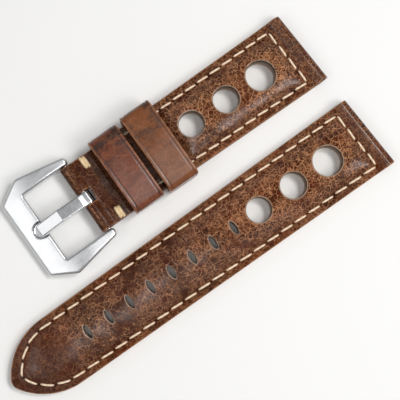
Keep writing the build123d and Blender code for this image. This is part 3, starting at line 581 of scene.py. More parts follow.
def tail_half(along, inset=0.0, tip_inset=0.0, nose=None):
    """Half the tail's width inside an inset outline: straight taper, flank arc, then nose circle."""
    sizes = settings()[0]
    nose = nose or sizes.tip_nose
    shoulder, apex = sizes.tail_length - sizes.tip_taper, sizes.tail_length - tip_inset
    half = sizes.end_width / 2 - inset
    radius, centre = tip_arc(half, apex - shoulder, nose)
    reach = (apex - nose - shoulder) / math.hypot(apex - nose - shoulder, centre)
    touch = shoulder + radius * reach
    flank = centre + np.sqrt(np.maximum(radius ** 2 - (along - shoulder) ** 2, 0))
    tip = np.sqrt(np.maximum(nose ** 2 - (along - apex + nose) ** 2, 0))
    straight = taper(along, inset, shoulder)
    return np.where(along <= shoulder, straight, np.where(along <= touch, flank, tip))


def tail_edge_distance(along, over, inset=0.0, tip_inset=0.0, nose=None):
    """Distance inwards from an inset outline of the tail: to its side, flank arc or nose circle."""
    sizes = settings()[0]
    nose = nose or sizes.tip_nose
    shoulder, apex = sizes.tail_length - sizes.tip_taper, sizes.tail_length - tip_inset
    half = sizes.end_width / 2 - inset
    radius, centre = tip_arc(half, apex - shoulder, nose)
    side = np.abs(over)
    to_side = taper(along, inset, shoulder) - side
    to_flank = radius - np.hypot(along - shoulder, side - centre)
    to_nose = nose - np.hypot(along - apex + nose, side)
    past = (along - shoulder) * (0 - centre) - (side - centre) * (apex - nose - shoulder) > 0
    return np.where(along <= shoulder, to_side, np.where(past, to_nose, to_flank))


class Half:
    """One leather half: its outline, holes, seams and crown."""

    def __init__(self, name):
        sizes, keepers = settings()[:2]
        self.name, self.body, self.sizes, self.tail = name, f"{name}_half", sizes, name == "tail"
        self.length = sizes.tail_length if self.tail else sizes.buckle_length
        self.cross = sizes.tail_cross_seam if self.tail else sizes.buckle_cross_seam
        self.pitch = sizes.tail_pitch if self.tail else sizes.buckle_pitch
        self.end = self.length if self.tail else SLOT_START
        self.padding_end = self.length - sizes.seam_tip - sizes.seam_gap if self.tail else (
            keepers.free_start - keepers.leather)
        self.holes = [Hole(HOLE_FIRST + k * HOLE_PITCH, (d / 2, d / 2), (HOLE_SQUARE, HOLE_SQUARE),
                           HOLE_POWER, HOLE_REACH) for k, d in enumerate(HOLE_DIAMETERS)]
        if self.tail:
            self.holes += [Hole(SLIT_FIRST + k * SLIT_PITCH, (SLIT_WIDTH / 2, SLIT_LENGTH / 2), SLIT_SQUARE,
                                SLIT_POWER, SLIT_REACH) for k in range(SLIT_COUNT)]
        self.places = np.array(TAIL_PLACE_SHARES if self.tail else BUCKLE_PLACE_SHARES)
        self.rises = np.array(TAIL_RISE_SHARES if self.tail else BUCKLE_RISE_SHARES)
        self.seams = self.seam_lines()

    def half_width(self, along, inset=0.0):
        """Half the width inside an inset outline."""
        if self.tail:
            return tail_half(along, inset, inset, self.sizes.tip_nose - inset)
        return taper(along, inset)

    def edge_distance(self, along, over):
        """Distance inwards from the outline's sides, and from the slot for the tongue."""
        if self.tail:
            return tail_edge_distance(along, over)
        slot = np.hypot(np.maximum(SLOT_START - along, 0), np.maximum(np.abs(over) - SLOT_HALF, 0))
        return np.minimum(taper(along) - np.abs(over), slot)

    def seam_lines(self):
        """The side seam or seams and the cross seam, as lines of points (along, over)."""
        s = self.sizes
        if self.tail:
            end = self.length - s.seam_tip
            turn = np.linspace(TIP_SEAM_START, math.pi / 2, TIP_SEAM_POINTS)
            run = np.concatenate([np.linspace(self.cross, end - s.seam_nose, SIDE_SEAM_POINTS),
                                  end - s.seam_nose * (1 - np.sin(turn))])
            half = tail_half(run, s.seam_margin, s.seam_tip, s.seam_nose)
            left = np.stack([run, half], 1)
            right = np.stack([run, -half], 1)[::-1]
            sides = [np.concatenate([left, right[1:]])]
        else:
            run = np.linspace(self.cross, settings()[1].fixed_start, SHORT_SEAM_POINTS)
            sides = [np.stack([run, side * taper(run, s.seam_margin)], 1) for side in (1, -1)]
        corner = sides[0][0]
        over = np.linspace(corner[1], -corner[1], CROSS_SEAM_POINTS)
        return sides + [np.stack([np.full(CROSS_SEAM_POINTS, corner[0]), over], 1)]

    def seam_fields(self, along, over):
        """Distance from the nearest seam, and the place in its stitch from 0 to 1."""
        points = np.stack([along.ravel(), over.ravel()], 1)
        best, phase = np.full(len(points), 1.0), np.zeros(len(points))
        for k, seam in enumerate(self.seams):
            away, run = nearest(points, seam)
            count = self.stitch_count(k)
            here = away < best
            best = np.where(here, away, best)
            phase = np.where(here, run / walk(seam)[-1] * count, phase)
        return best.reshape(along.shape), phase.reshape(along.shape)

    def stitch_count(self, seam):
        """How many stitches a seam has: four across, and one for each pitch along the sides."""
        if seam == len(self.seams) - 1:
            return CROSS_STITCHES
        return max(1, round(walk(self.seams[seam])[-1] / self.pitch))

    def from_seams(self, along, over):
        """Distance inwards from the foot of the crown, which follows the side seams."""
        s = self.sizes
        inset = s.seam_margin + s.seam_gap
        if self.tail:
            return tail_edge_distance(along, over, inset, s.seam_tip + s.seam_gap, s.seam_nose)
        return taper(along, inset) - np.abs(over)

    def crown(self, along, over):
        """Height of the padded crown: its rise along the half, times (1 - q squared) across, plus a foot."""
        s = self.sizes
        start = self.cross + s.seam_gap
        inwards = self.from_seams(along, over)
        widest = taper(np.minimum(along, self.length - s.tip_taper), s.seam_margin + s.seam_gap,
                       self.length - s.tip_taper)
        across = np.clip(1 - inwards / widest, 0, 1)
        shares = 0
        for shift in np.linspace(-1, 1, CROWN_SAMPLES) * CROWN_SOFTENING:
            share_along = (along + shift - start) / (self.padding_end - start)
            shares = shares + np.interp(share_along, self.places, self.rises, left=0, right=0) / CROWN_SAMPLES
        foot = ease(*CROWN_SIDE, inwards) * ease(*CROWN_END, along - start)
        foot = foot * ease(*CROWN_END, self.padding_end - along)
        dome = s.crown * shares * (1 - across ** 2) * ease(*CROWN_SLOPE, inwards)
        return dome + foot * s.sheet

    def fold_rise(self, along):
        """Height of the folded ends over the flat: from the fold's top down to the flat."""
        s = self.sizes
        rise = 2 * s.fold - s.thickness
        lug = rise * (1 - ease(s.fold, s.fold_length + FOLD_RUN_OUT, along))
        return lug if self.tail else lug + rise * ease(
            self.length - s.fold_length - FOLD_RUN_OUT, self.length - s.fold, along)

    def worn(self, along, over):
        """How much the wax has cracked and paled: most on the crown's middle, least at the tip. Near the lug
        ends the paling also paints a sheen, and on the buckle fold's crest a highlight.
        """
        crown = ease(0, WORN_FULL * self.sizes.crown, self.crown(along, over))
        past_seam = ease(*WORN_LUG_RANGE, along - self.cross)
        cracked = (WORN_FLAT + WORN_CROWN * crown) * (WORN_LUG + (1 - WORN_LUG) * past_seam)
        # Paler near the lug ends: wear, and a painted sheen.
        cracked *= 1 + LUG_WEAR_AND_SHEEN * (1 - ease(*LUG_WEAR_AND_SHEEN_FADES, along))
        if self.tail:
            return cracked * (1 - SMOOTH_SHARE * ease(*TIP_SMOOTHS, along))
        tab = ease(0, TAB_SMOOTHS, along - settings()[1].fixed_start)
        # A pale line on the fold's crest: wear, and a painted highlight.
        return cracked * (1 - SMOOTH_SHARE * tab) + CREST_WEAR_AND_HIGHLIGHT * bell(along - CREST, CREST_WIDTH)

    def burnt(self, along, over):
        """How far the leather is darkened: painted shade beside the seams, stronger on the -Y side, and the
        darker burnish at the tail's tip and on the tab by the buckle.
        """
        inwards = self.from_seams(along, over)
        # Painted shade in the hollow between the seam and the crown's foot, stronger on the -Y side.
        foot = ease(*DARK_RISES, inwards) * (1 - ease(*DARK_FALLS, inwards))
        foot = np.where(over < 0, 1.0, DARK_FAR_SIDE) * foot * ease(0, DARK_FROM_SEAM, along - self.cross)
        if self.tail:
            return np.maximum(foot, TIP_DARK * ease(*TIP_DARKENS, along))
        tab = ease(*TAB_DARKENS, along - settings()[1].free_start)
        return np.maximum(foot * (1 - tab), TAB_DARK * tab)

    def shine(self, along, over):
        """How polished the leather is: on the crown's slopes, at the tail's tip and on the tab."""
        share = self.crown(along, over) / self.sizes.crown
        slope = ease(*SHINE_RISES, share) * (1 - ease(*SHINE_FALLS, share))
        streak = 0 if self.tail else bell(along - STREAK, STREAK_WIDTH)
        lug = LUG_SHINE * (1 - ease(self.cross - LUG_SHINE_RUN, self.cross, along))
        return np.clip(np.maximum(slope, SHINE_DARK * self.burnt(along, over)) + streak + lug, 0, 1)

    def rim_distance(self, along, over):
        """Distance outwards from the nearest hole's rim."""
        return np.min([hole.distance(along, over) for hole in self.holes], 0)

    def skin(self, along, over):
        """Height of the upper skin: flat, crown and folds, less rounded edges, rims and the seam's groove."""
        s = self.sizes
        seam, phase = self.seam_fields(along, over)
        edge = self.edge_distance(along, over)
        groove = bell(seam, GROOVE_WIDTH) * (GROOVE_DEPTH + GROOVE_DIPS * np.cos(phase * 2 * math.pi))
        uneven = sum(waves(along, over, seed, size) * rise
                     for seed, (size, rise) in zip(WAVE_SEEDS[self.name], (LONG_WAVES, SHORT_WAVES)))
        height = s.thickness + self.crown(along, over) + self.fold_rise(along) - groove
        from_folds = along if self.tail else np.minimum(along, self.length - along)
        if not self.tail:
            height += TAB_RIDGE_HEIGHT * bell(along - TAB_RIDGE, TAB_RIDGE_WIDTH)
        height += uneven * ease(*WAVES_START, edge) * ease(s.fold, 2 * s.fold, from_folds)
        rounding = s.fold_edge + (s.edge_round - s.fold_edge) * ease(s.fold_length, 2 * s.fold_length, from_folds)
        return height - rounded_drop(edge, rounding) - rounded_drop(self.rim_distance(along, over), s.rim_round)

    def breaks(self, start, end, step):
        """Rows and columns that the grid must have: the middle, the band, the slot and each hole's rings."""
        rings = RIM_RINGS if step < RINGS_BELOW else RIM_RINGS[:1]
        rows, columns = [start, end], [0.0, BAND]
        if not self.tail:
            rows += [SLOT_START - ring for ring in rings]
            columns += [SLOT_HALF + ring for ring in rings]
        for hole in self.holes:
            for ring in rings:
                rows += [hole.centre - hole.square_along - ring, hole.centre + hole.square_along + ring]
                columns.append(hole.square_over + ring)
        rows = [row for row in rows if start <= row <= end]
        return np.unique(np.round(rows, GRID_PLACES)), np.unique(np.round(columns, GRID_PLACES))

    def grid(self, start, end, step, inset=0.0):
        """Rows along and columns across between two places, bent so that they follow every hole's rim."""
        rows, columns = self.breaks(start, end - inset if self.tail else end, step)
        nose = self.length - self.sizes.tip_nose
        if self.tail:
            rows = np.append(rows[rows < nose - NIP], nose)
        rows, inner = lines(rows, step), lines(columns, step)
        if self.tail:
            last = nose + (self.sizes.tip_nose - inset) * np.sin(np.linspace(0, NOSE_LAST, NOSE_POINTS))
            rows = np.concatenate([rows, last[1:]])
        outer = 1 - (1 - np.linspace(0, 1, math.ceil(BESIDE_BAND / step) + 5)[1:]) ** CROWDING
        half = self.half_width(rows, inset)[:, None]
        squeeze = np.minimum(1, half / (BAND + BAND_ROOM))
        side = np.concatenate([squeeze * inner, squeeze * BAND + (half - squeeze * BAND) * outer], 1)
        over = np.concatenate([-side[:, :0:-1], side], 1)
        along = np.broadcast_to(rows[:, None], over.shape).copy()
        keep = np.ones((len(rows) - 1, over.shape[1] - 1), bool)
        middle_along = (along[:-1, :-1] + along[1:, 1:]) / 2
        middle_over = (over[:-1, :-1] + over[1:, 1:]) / 2
        for hole in self.holes:
            keep &= ~hole.inside_square(middle_along, middle_over)
            along, over = hole.bend(along, over)
        return along, over, keep


class Hole:
    """A hole through a half: a block of the grid, bent so that its sides lie on a rounded outline."""

    def __init__(self, centre, radii, square, power, reach):
        self.centre, self.power, self.reach = centre, power, reach
        self.radius_along, self.radius_over = radii
        self.square_along, self.square_over = square

    def inside_square(self, along, over):
        """Whether a place is in the block of the grid that is left out."""
        return (np.abs(along - self.centre) < self.square_along) & (np.abs(over) < self.square_over)

    def distance(self, along, over):
        """Distance outwards from the rim, along the line from the centre: r times (1 - 1/F)."""
        x, y = np.abs(along - self.centre), np.abs(over)
        rim = ((x / self.radius_along) ** self.power + (y / self.radius_over) ** self.power) ** (1 / self.power)
        return np.hypot(x, y) * (1 - 1 / np.maximum(rim, 1e-6))

    def bend(self, along, over):
        """Moves the square's points onto the rim, and those further out less and less."""
        p, q = (along - self.centre) / self.square_along, over / self.square_over
        ring = np.maximum(np.maximum(np.abs(p), np.abs(q)), 1e-9)
        angle = np.arctan2(q, p)
        cos, sin = np.cos(angle), np.sin(angle)
        rim = (np.abs(cos) ** self.power + np.abs(sin) ** self.power) ** (-1 / self.power)
        near = np.where(ring < self.reach, 1 - ease(1, self.reach, ring), 0)
        to_along = (self.radius_along * rim * cos - self.square_along * p / ring) * near
        to_over = (self.radius_over * rim * sin - self.square_over * q / ring) * near
        return along + to_along, over + to_over


def lean():
    """Angle by which the buckle half leans, its lug end and its free keeper both on the table."""
    sizes, keepers = settings()[:2]
    return math.atan((keepers.leather + LEAN_GAP) / (keepers.free_start - sizes.fold))


def placement(half_name):
    """Where a half lies: its lug end from the frame's boxes, its lean as on the table."""
    sizes = settings()[0]
    if half_name == "tail":
        low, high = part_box("tail_top_leather")
        return Matrix.Translation((high[0], (low[1] + high[1]) / 2, low[2]))
    low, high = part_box("buckle_top_leather")
    angle = lean()
    lift = sizes.fold * (1 - math.cos(angle) - math.sin(angle))
    end = high[0] - sizes.fold * (1 - math.cos(angle) + math.sin(angle))
    return Matrix.Translation((end, (low[1] + high[1]) / 2, lift)) @ Matrix.Rotation(angle, 4, "Y")


def bar_placement():
    """Where the buckle's spring bar lies, from its barrel's box."""
    low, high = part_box("spring_bar_barrel")
    return Matrix.Translation([(a + b) / 2 for a, b in zip(low, high)])


def level(along, over, height):
    """Points of a half that lies level with its lug end at the origin: X runs against along.

    The lug end is cut a little askew, which fades out as far as the first hole.
    """
    askew = over * LUG_SKEW * (1 - ease(LUG_SKEW_FULL, LUG_SKEW_NONE, along))
    return np.stack(np.broadcast_arrays(-along - askew, over, height), -1)


def fold_over(surface, half, end, join, over_lines, top, back):
    """Leather folded round a spring bar: an outer profile carried across, end caps and the bar's tunnel.

    The profile runs from the flat's top, round a half circle about the bar, to the underside. Towards
    its cut sides it is drawn in by the edge's rounding. Behind, it is closed between the rows of
    heights in back, and its last row is where the flat leather goes on.
    """
    s = half.sizes
    inwards = 1 if join > end else -1
    centre = end + inwards * s.fold
    flat = lines([s.fold, abs(join - end)], FOLD_STEP)[::-1][:-1]
    turn = np.linspace(0, math.pi, FOLD_TURN_POINTS)[:, None]
    away = np.minimum(over_lines - over_lines[0], over_lines[-1] - over_lines)[None]
    drawn = rounded_drop(away, s.fold_edge)
    flat_along = np.broadcast_to((end + inwards * flat)[:, None], (len(flat), len(over_lines)))
    flat_top = half.skin(flat_along, np.broadcast_to(over_lines, flat_along.shape))
    flat_top[0] = top
    along = np.concatenate([flat_along, centre - inwards * (s.fold - drawn) * np.sin(turn), flat_along[::-1]])
    height = np.concatenate([flat_top, s.fold + (s.fold - drawn) * np.cos(turn), drawn + 0 * flat_along])
    over = np.broadcast_to(over_lines, along.shape)
    below = np.concatenate([0 * flat, ease(*UNDER_TURN, turn[:, 0]), 0 * flat + 1])[:, None] + 0 * along
    burnt = half.burnt(along, over)
    # Beyond the crest of the buckle's fold, the leather turning under is darkened: painted shade.
    if inwards < 0:
        burnt = np.maximum(burnt, ease(*CREST_PAINTED_SHADE, along))
    shine = half.shine(along, over) * (1 - below)
    surface.add(level(along, over, height), quads(*along.shape), edge=(away + 0 * along).ravel(), rim=FAR,
                seam=FAR, worn=half.worn(along, over).ravel(), burnt=burnt.ravel(), under=below.ravel(),
                shine=shine.ravel())
    back = np.array(back)
    surface.add(level(join + 0 * back, over_lines + 0 * back, back), quads(*back.shape), **HIDDEN_LEATHER)
    sides = [(over_lines[k], np.concatenate([along[:, k], np.full(len(back), join)]),
              np.concatenate([height[:, k], back[:, k]])) for k in (0, -1)]
    fold_ends(surface, s, centre, sides)


def fold_ends(surface, sizes, centre, sides):
    """The cut ends of a fold, each from its outline to the bar's bore, and the tunnel between them."""
    tunnel = []
    for over, ring_along, ring_height in sides:
        angle = np.arctan2(ring_height - sizes.fold, ring_along - centre)
        t = np.linspace(0, 1, CAP_RINGS)[:, None]
        cap_along = ring_along * (1 - t) + (centre + sizes.bore * np.cos(angle)) * t
        cap_height = ring_height * (1 - t) + (sizes.fold + sizes.bore * np.sin(angle)) * t
        cap = level(cap_along, over + 0 * cap_along, cap_height)
        cap[-1, :, 0] = -cap_along[-1]
        surface.add(cap, quads(CAP_RINGS, len(angle), round_columns=True), **{**HIDDEN_LEATHER, "under": CUT_PAINT})
        tunnel.append(cap[-1])
    surface.add(tunnel, quads(2, len(tunnel[0]), round_columns=True), **HIDDEN_LEATHER)


def layer(surface, half, grid, top, bottom, open_rows=()):
    """A closed layer of a half between two heights, with the fields that its leather follows."""
    along, over, keep = grid
    edge = np.clip(half.edge_distance(along, over), 0, FAR)
    rim = np.clip(half.rim_distance(along, over), 0, FAR)
    seam, phase = half.seam_fields(along, over)
    points = [level(along, over, height + 0 * along).reshape(-1, 3) for height in (top, bottom)]
    fields = (edge, rim, seam, phase, *(field(along, over) for field in (half.worn, half.burnt, half.shine)))
    edge, rim, seam, phase, worn, burnt, shine = (np.tile(field.ravel(), 2) for field in fields)
    surface.add(np.concatenate(points), sheet_faces(*along.shape, keep, open_rows), edge=edge, rim=rim,
                seam=seam, phase=phase, worn=worn, burnt=burnt, shine=shine, under=np.repeat([0.0, 1.0], along.size))


# Materials

class Graph:
    """A node tree while it is written: each call adds one node and gives its first output."""

    def __init__(self, tree):
        self.tree = tree

    def node(self, kind, inputs=(), **options):
        """Adds a node, sets its options, and links or sets its inputs by name or number."""
        made = self.tree.nodes.new(kind)
        for name, value in options.items():
            setattr(made, name, value)
        for key, value in dict(inputs).items():
            socket = made.inputs[key]
            if isinstance(value, bpy.types.NodeSocket):
                self.tree.links.new(value, socket)
            elif socket.type == "RGBA" and len(value) == 3:
                socket.default_value = (*value, 1)
            else:
                socket.default_value = value
        return made

    def maths(self, operation, a, b=0.0):
        """A sum done on one or two values or outputs."""
        return self.node("ShaderNodeMath", {0: a, 1: b}, operation=operation).outputs[0]

    def times(self, a, b):
        """a times b."""
        return self.maths("MULTIPLY", a, b)

    def plus(self, a, b):
        """a plus b."""
        return self.maths("ADD", a, b)

    def fade(self, value, low, high, to_low=0.0, to_high=1.0):
        """to_low where the value is low, to_high where it is high, eased between them."""
        return self.node("ShaderNodeMapRange", {0: value, 1: low, 2: high, 3: to_low, 4: to_high},
                         interpolation_type="SMOOTHSTEP").outputs[0]

    def mix(self, share_of_b, a, b):
        """Colour a, with as much of colour b as the share says."""
        made = self.tree.nodes.new("ShaderNodeMix")
        made.data_type = "RGBA"
        for socket, value in ((made.inputs[0], share_of_b), (made.inputs[6], a), (made.inputs[7], b)):
            if isinstance(value, bpy.types.NodeSocket):
                self.tree.links.new(value, socket)
            else:
                socket.default_value = value if isinstance(value, (int, float)) else (*tuple(value)[:3], 1)
        return made.outputs[2]

    def larger(self, a, b):
        """The larger of a and b."""
        return self.maths("MAXIMUM", a, b)

    def vector_maths(self, operation, inputs):
        """A sum done on vectors, its inputs given by name or number."""
        return self.node("ShaderNodeVectorMath", inputs, operation=operation).outputs[0]

    def noise(self, place, scale, detail=3.0, rough=0.55, warp=0.0):
        """Smooth random values about 0.5."""
        return self.node("ShaderNodeTexNoise", {"Vector": place, "Scale": scale, "Detail": detail,
                                                "Roughness": rough, "Distortion": warp}).outputs["Fac"]

    def patches(self, place, scale, detail, low, high, to_low=0.0, to_high=1.0, rough=0.55, warp=0.0):
        """Soft patches: noise that fades between two of its values."""
        return self.fade(self.noise(place, scale, detail, rough, warp), low, high, to_low, to_high)

    def stretched(self, place, scale, turn=0.0):
        """Coordinates scaled by three shares after a turn about Z."""
        return self.node("ShaderNodeMapping", {"Vector": place, "Scale": scale, "Rotation": (0, 0, turn)}).outputs[0]

    def field(self, name):
        """One of the piece's own fields."""
        return self.node("ShaderNodeAttribute", attribute_name=name).outputs["Fac"]


def group(name, inputs, outputs, write):
    """A shader node group with named inputs and outputs, written once."""
    tree = bpy.data.node_groups.get(name)
    if tree is None:
        tree = bpy.data.node_groups.new(name, "ShaderNodeTree")
        for label, kind, value in inputs:
            socket = tree.interface.new_socket(label, in_out="INPUT", socket_type=f"NodeSocket{kind}")
            if value is not None:
                socket.default_value = value
        for label, kind in outputs:
            tree.interface.new_socket(label, in_out="OUTPUT", socket_type=f"NodeSocket{kind}")
        graph = Graph(tree)
        given, result = tree.nodes.new("NodeGroupInput"), tree.nodes.new("NodeGroupOutput")
        for label, socket in write(graph, given.outputs).items():
            tree.links.new(socket, result.inputs[label])
    return tree


def place_group(graph, tree, inputs):
    """A group's node in a material, with its inputs linked or set."""
    made = graph.tree.nodes.new("ShaderNodeGroup")
    made.node_tree = tree
    for name, value in inputs.items():
        if isinstance(value, bpy.types.NodeSocket):
            graph.tree.links.new(value, made.inputs[name])
        elif made.inputs[name].type == "RGBA":
            made.inputs[name].default_value = (*tuple(value)[:3], 1)
        else:
            made.inputs[name].default_value = value
    return made.outputs


def winding_creases(g, place, size, scale, rough, warp, width, strength):
    """Long winding creases: where a noise is close to its middle value."""
    away = g.maths("ABSOLUTE", g.plus(g.noise(place, g.times(size, scale), CREASE_DETAIL, rough, warp), -0.5))
    return g.fade(away, *width, strength, 0.0)


def crackle_group():
    """Crackle of waxed leather: broken edges of uneven cells, coarse and fine, and long winding creases."""
    def write(g, given):
        place = given["Place"]
        inputs = {"Vector": place, "Scale": CRACKLE_WARP, "Detail": WARP_DETAIL}
        warp = g.node("ShaderNodeTexNoise", inputs).outputs["Color"]
        bent = g.vector_maths("SUBTRACT", {0: warp, 1: (0.5, 0.5, 0.5)})
        bent = g.vector_maths("SCALE", {0: bent, "Scale": WARP_REACH})
        bent = g.vector_maths("ADD", {0: place, 1: bent})
        cells = []
        for scale, width in CRACKLE_CELLS:
            inputs = {"Vector": bent, "Scale": g.times(given["Size"], scale)}
            edge = g.node("ShaderNodeTexVoronoi", inputs, feature="DISTANCE_TO_EDGE").outputs[0]
            cells.append(g.fade(edge, CRACKLE_SOFT * width, width, 1.0, 0.0))
        crease, thin = (winding_creases(g, place, given["Size"], *kind) for kind in (CREASES, THIN_CREASES))
        crease = g.larger(crease, g.times(thin, g.patches(place, *THIN_PATCHES)))
        large, middle, small = (g.times(cell, g.patches(place, *kind)) for cell, kind in zip(cells, CRACKLE_PATCHES))
        found = g.larger(g.larger(large, middle), g.larger(small, crease))
        broken = g.patches(place, *CRACKLE_BREAKS)
        return {"Lines": g.times(found, broken), "All Lines": g.larger(cells[1], crease)}
    return group("crackle", [("Place", "Vector", None), ("Size", "Float", None)],
                 [("Lines", "Float"), ("All Lines", "Float")], write)


def tone_group():
    """Uneven dye: middle brown with redder clouds, dark blotches and a fine mottle."""
    def write(g, given):
        place = given["Place"]
        colour_now = g.mix(g.patches(place, *DYE_CLOUDS), given["Brown"], given["Red"])
        clouds, specks = (g.times(g.patches(place, *kind), 0.5) for kind in (DYE_BLOTCHES, DYE_SPECKS))
        blotch = g.maths("MINIMUM", g.times(g.plus(clouds, specks), given["Blotches"]), 1.0)
        colour_now = g.mix(blotch, colour_now, given["Dark"])
        mottle = g.plus(g.times(g.patches(place, *DYE_MOTTLE), given["Mottle"]), 1.0)
        return {"Colour": g.vector_maths("SCALE", {0: colour_now, "Scale": mottle})}
    return group("dye", [("Place", "Vector", None), ("Brown", "Color", None), ("Red", "Color", None),
                         ("Dark", "Color", None), ("Blotches", "Float", None), ("Mottle", "Float", 1.0)],
                 [("Colour", "Color")], write)


def grain_group():
    """Height of leather grain: small cells, finer pores and soft long creases."""
    def write(g, given):
        place = given["Place"]
        cells = g.node("ShaderNodeTexVoronoi", {"Vector": place, "Scale": GRAIN_CELLS}).outputs["Distance"]
        pores = g.noise(place, *GRAIN_PORES)
        soft = g.noise(g.stretched(place, GRAIN_STRETCH, GRAIN_TURN), *GRAIN_CREASES)
        cells, pores, soft = (g.times(*pair) for pair in zip((cells, pores, soft), GRAIN_SHARES))
        return {"Height": g.plus(cells, g.plus(pores, soft))}
    return group("grain", [("Place", "Vector", None)], [("Height", "Float")], write)


def new_material(name):
    """An empty material and its graph, ending in a Principled shader."""
    material = bpy.data.materials.new(name)
    material.use_nodes = True
    graph = Graph(material.node_tree)
    principled = material.node_tree.nodes["Principled BSDF"]
    return material, graph, principled


def finish_material(graph, principled, colour_now, rough, height=None, distance=0.0, strength=1.0, **constants):
    """Feeds the Principled shader: colour, roughness and bump by links, all else as plain values."""
    tree = graph.tree
    for socket, value in ((principled.inputs["Base Color"], colour_now), (principled.inputs["Roughness"], rough)):
        if isinstance(value, bpy.types.NodeSocket):
            tree.links.new(value, socket)
        else:
            socket.default_value = (*tuple(value)[:3], 1) if socket.type == "RGBA" else value
    if height is not None:
        bump = graph.node("ShaderNodeBump", {"Height": height, "Distance": distance, "Strength": strength})
        tree.links.new(bump.outputs[0], principled.inputs["Normal"])
    for name, value in constants.items():
        principled.inputs[name.replace("_", " ")].default_value = value


def here(graph):
    """Object coordinates."""
    return graph.node("ShaderNodeTexCoord").outputs["Object"]


def stitch_pits(g, phase, seam):
    """Where the stitches go down into the leather: 1 in the pits between them, 0 elsewhere, for their painted shade.
    """
    along = g.times(g.plus(g.maths("PINGPONG", g.plus(phase, 0.5), 0.5), -0.5), settings()[0].tail_pitch)
    away = g.maths("SQRT", g.plus(g.times(along, along), g.times(seam, seam)))
    return g.fade(away, *STITCH_PIT, 1.0, 0.0)


def strap_leather(name, brown, red, dark, pale):
    """Waxed leather: crackle, blotches, painted shade beside the seams, a darker burnish at tip and tab,
    pale rims and edges of wear with a painted highlight, and a painted sheen near the lug ends.
    """
    material, g, principled = new_material(name)
    place, tones = here(g), settings()[3]
    edge, rim, seam, phase, under, worn, burnt, shine = (
        g.field(n) for n in ("edge", "rim", "seam", "phase", "under", "worn", "burnt", "shine"))
    blotches = g.plus(g.times(burnt, BLOTCHES_WHERE_BURNISH_AND_SHADE), STRAP_BLOTCHES)
    dye = place_group(g, tone_group(), {"Place": place, "Brown": brown, "Red": red, "Dark": dark,
                                        "Blotches": blotches})
    cracks = place_group(g, crackle_group(), {"Place": place, "Size": STRAP_CRACKLE})
    grain = place_group(g, grain_group(), {"Place": place})["Height"]
    # Painted shade beside the seams and under the buckle's fold, and the darker burnish of the tip and tab.
    foot = g.times(burnt, g.patches(place, *BURNISH_AND_SHADE_PATCHES))
    colour_now = g.mix(g.times(foot, BURNISH_AND_SHADE_SHARE), dye["Colour"], tones.burnish_and_shade_tone)
    # Pale crackle; near the lug ends and on the fold's crest its share also paints sheen and highlight.
    pale_share = g.times(cracks["Lines"], g.plus(g.times(worn, CRACKS_WHERE_WEAR_AND_HIGHLIGHT), CRACKS_ALWAYS))
    colour_now = g.mix(pale_share, colour_now, pale)
    # Painted shade in the stitch holes between the stitches.
    colour_now = g.mix(g.times(stitch_pits(g, phase, seam), PIT_SHARE), colour_now, dark)
    # Pale grey ring round the holes: wear, and a painted highlight on the rounded rim.
    rim_wear_and_highlight = g.times(g.fade(rim, *RIM_PALE, 1.0, 0.0), g.patches(place, *RIM_PATCHES))
    colour_now = g.mix(rim_wear_and_highlight, colour_now, tones.rim)
    # Pale line along the outer edges: wear, and a painted highlight on the rounded edge.
    edge_wear_and_highlight = g.times(g.fade(edge, *EDGE_PALE, 1.0, 0.0), g.patches(place, *EDGE_PATCHES))
    colour_now = g.mix(edge_wear_and_highlight, colour_now, pale)
    wall = g.larger(g.times(g.fade(edge, *EDGE_WALL, 1.0, 0.0), under), g.fade(rim, *RIM_WALL, 1.0, 0.0))
    colour_now = g.mix(g.times(wall, PAINT_SHARE), colour_now, tones.paint)
    uneven = g.plus(g.times(burnt, ROUGH_WHERE_BURNISH_AND_SHADE), g.times(g.noise(place, *ROUGH_NOISE), ROUGH_SHARE))
    height = g.plus(grain, g.times(cracks["All Lines"], CRACK_DEPTH))
    finish_material(g, principled, colour_now, g.plus(uneven, STRAP_ROUGH), height, *STRAP_BUMP,
                    Specular_IOR_Level=0.04, Coat_Roughness=0.22)
    coat = g.times(shine, g.patches(place, *COAT_PATCHES))
    material.node_tree.links.new(coat, principled.inputs["Coat Weight"])
    return material


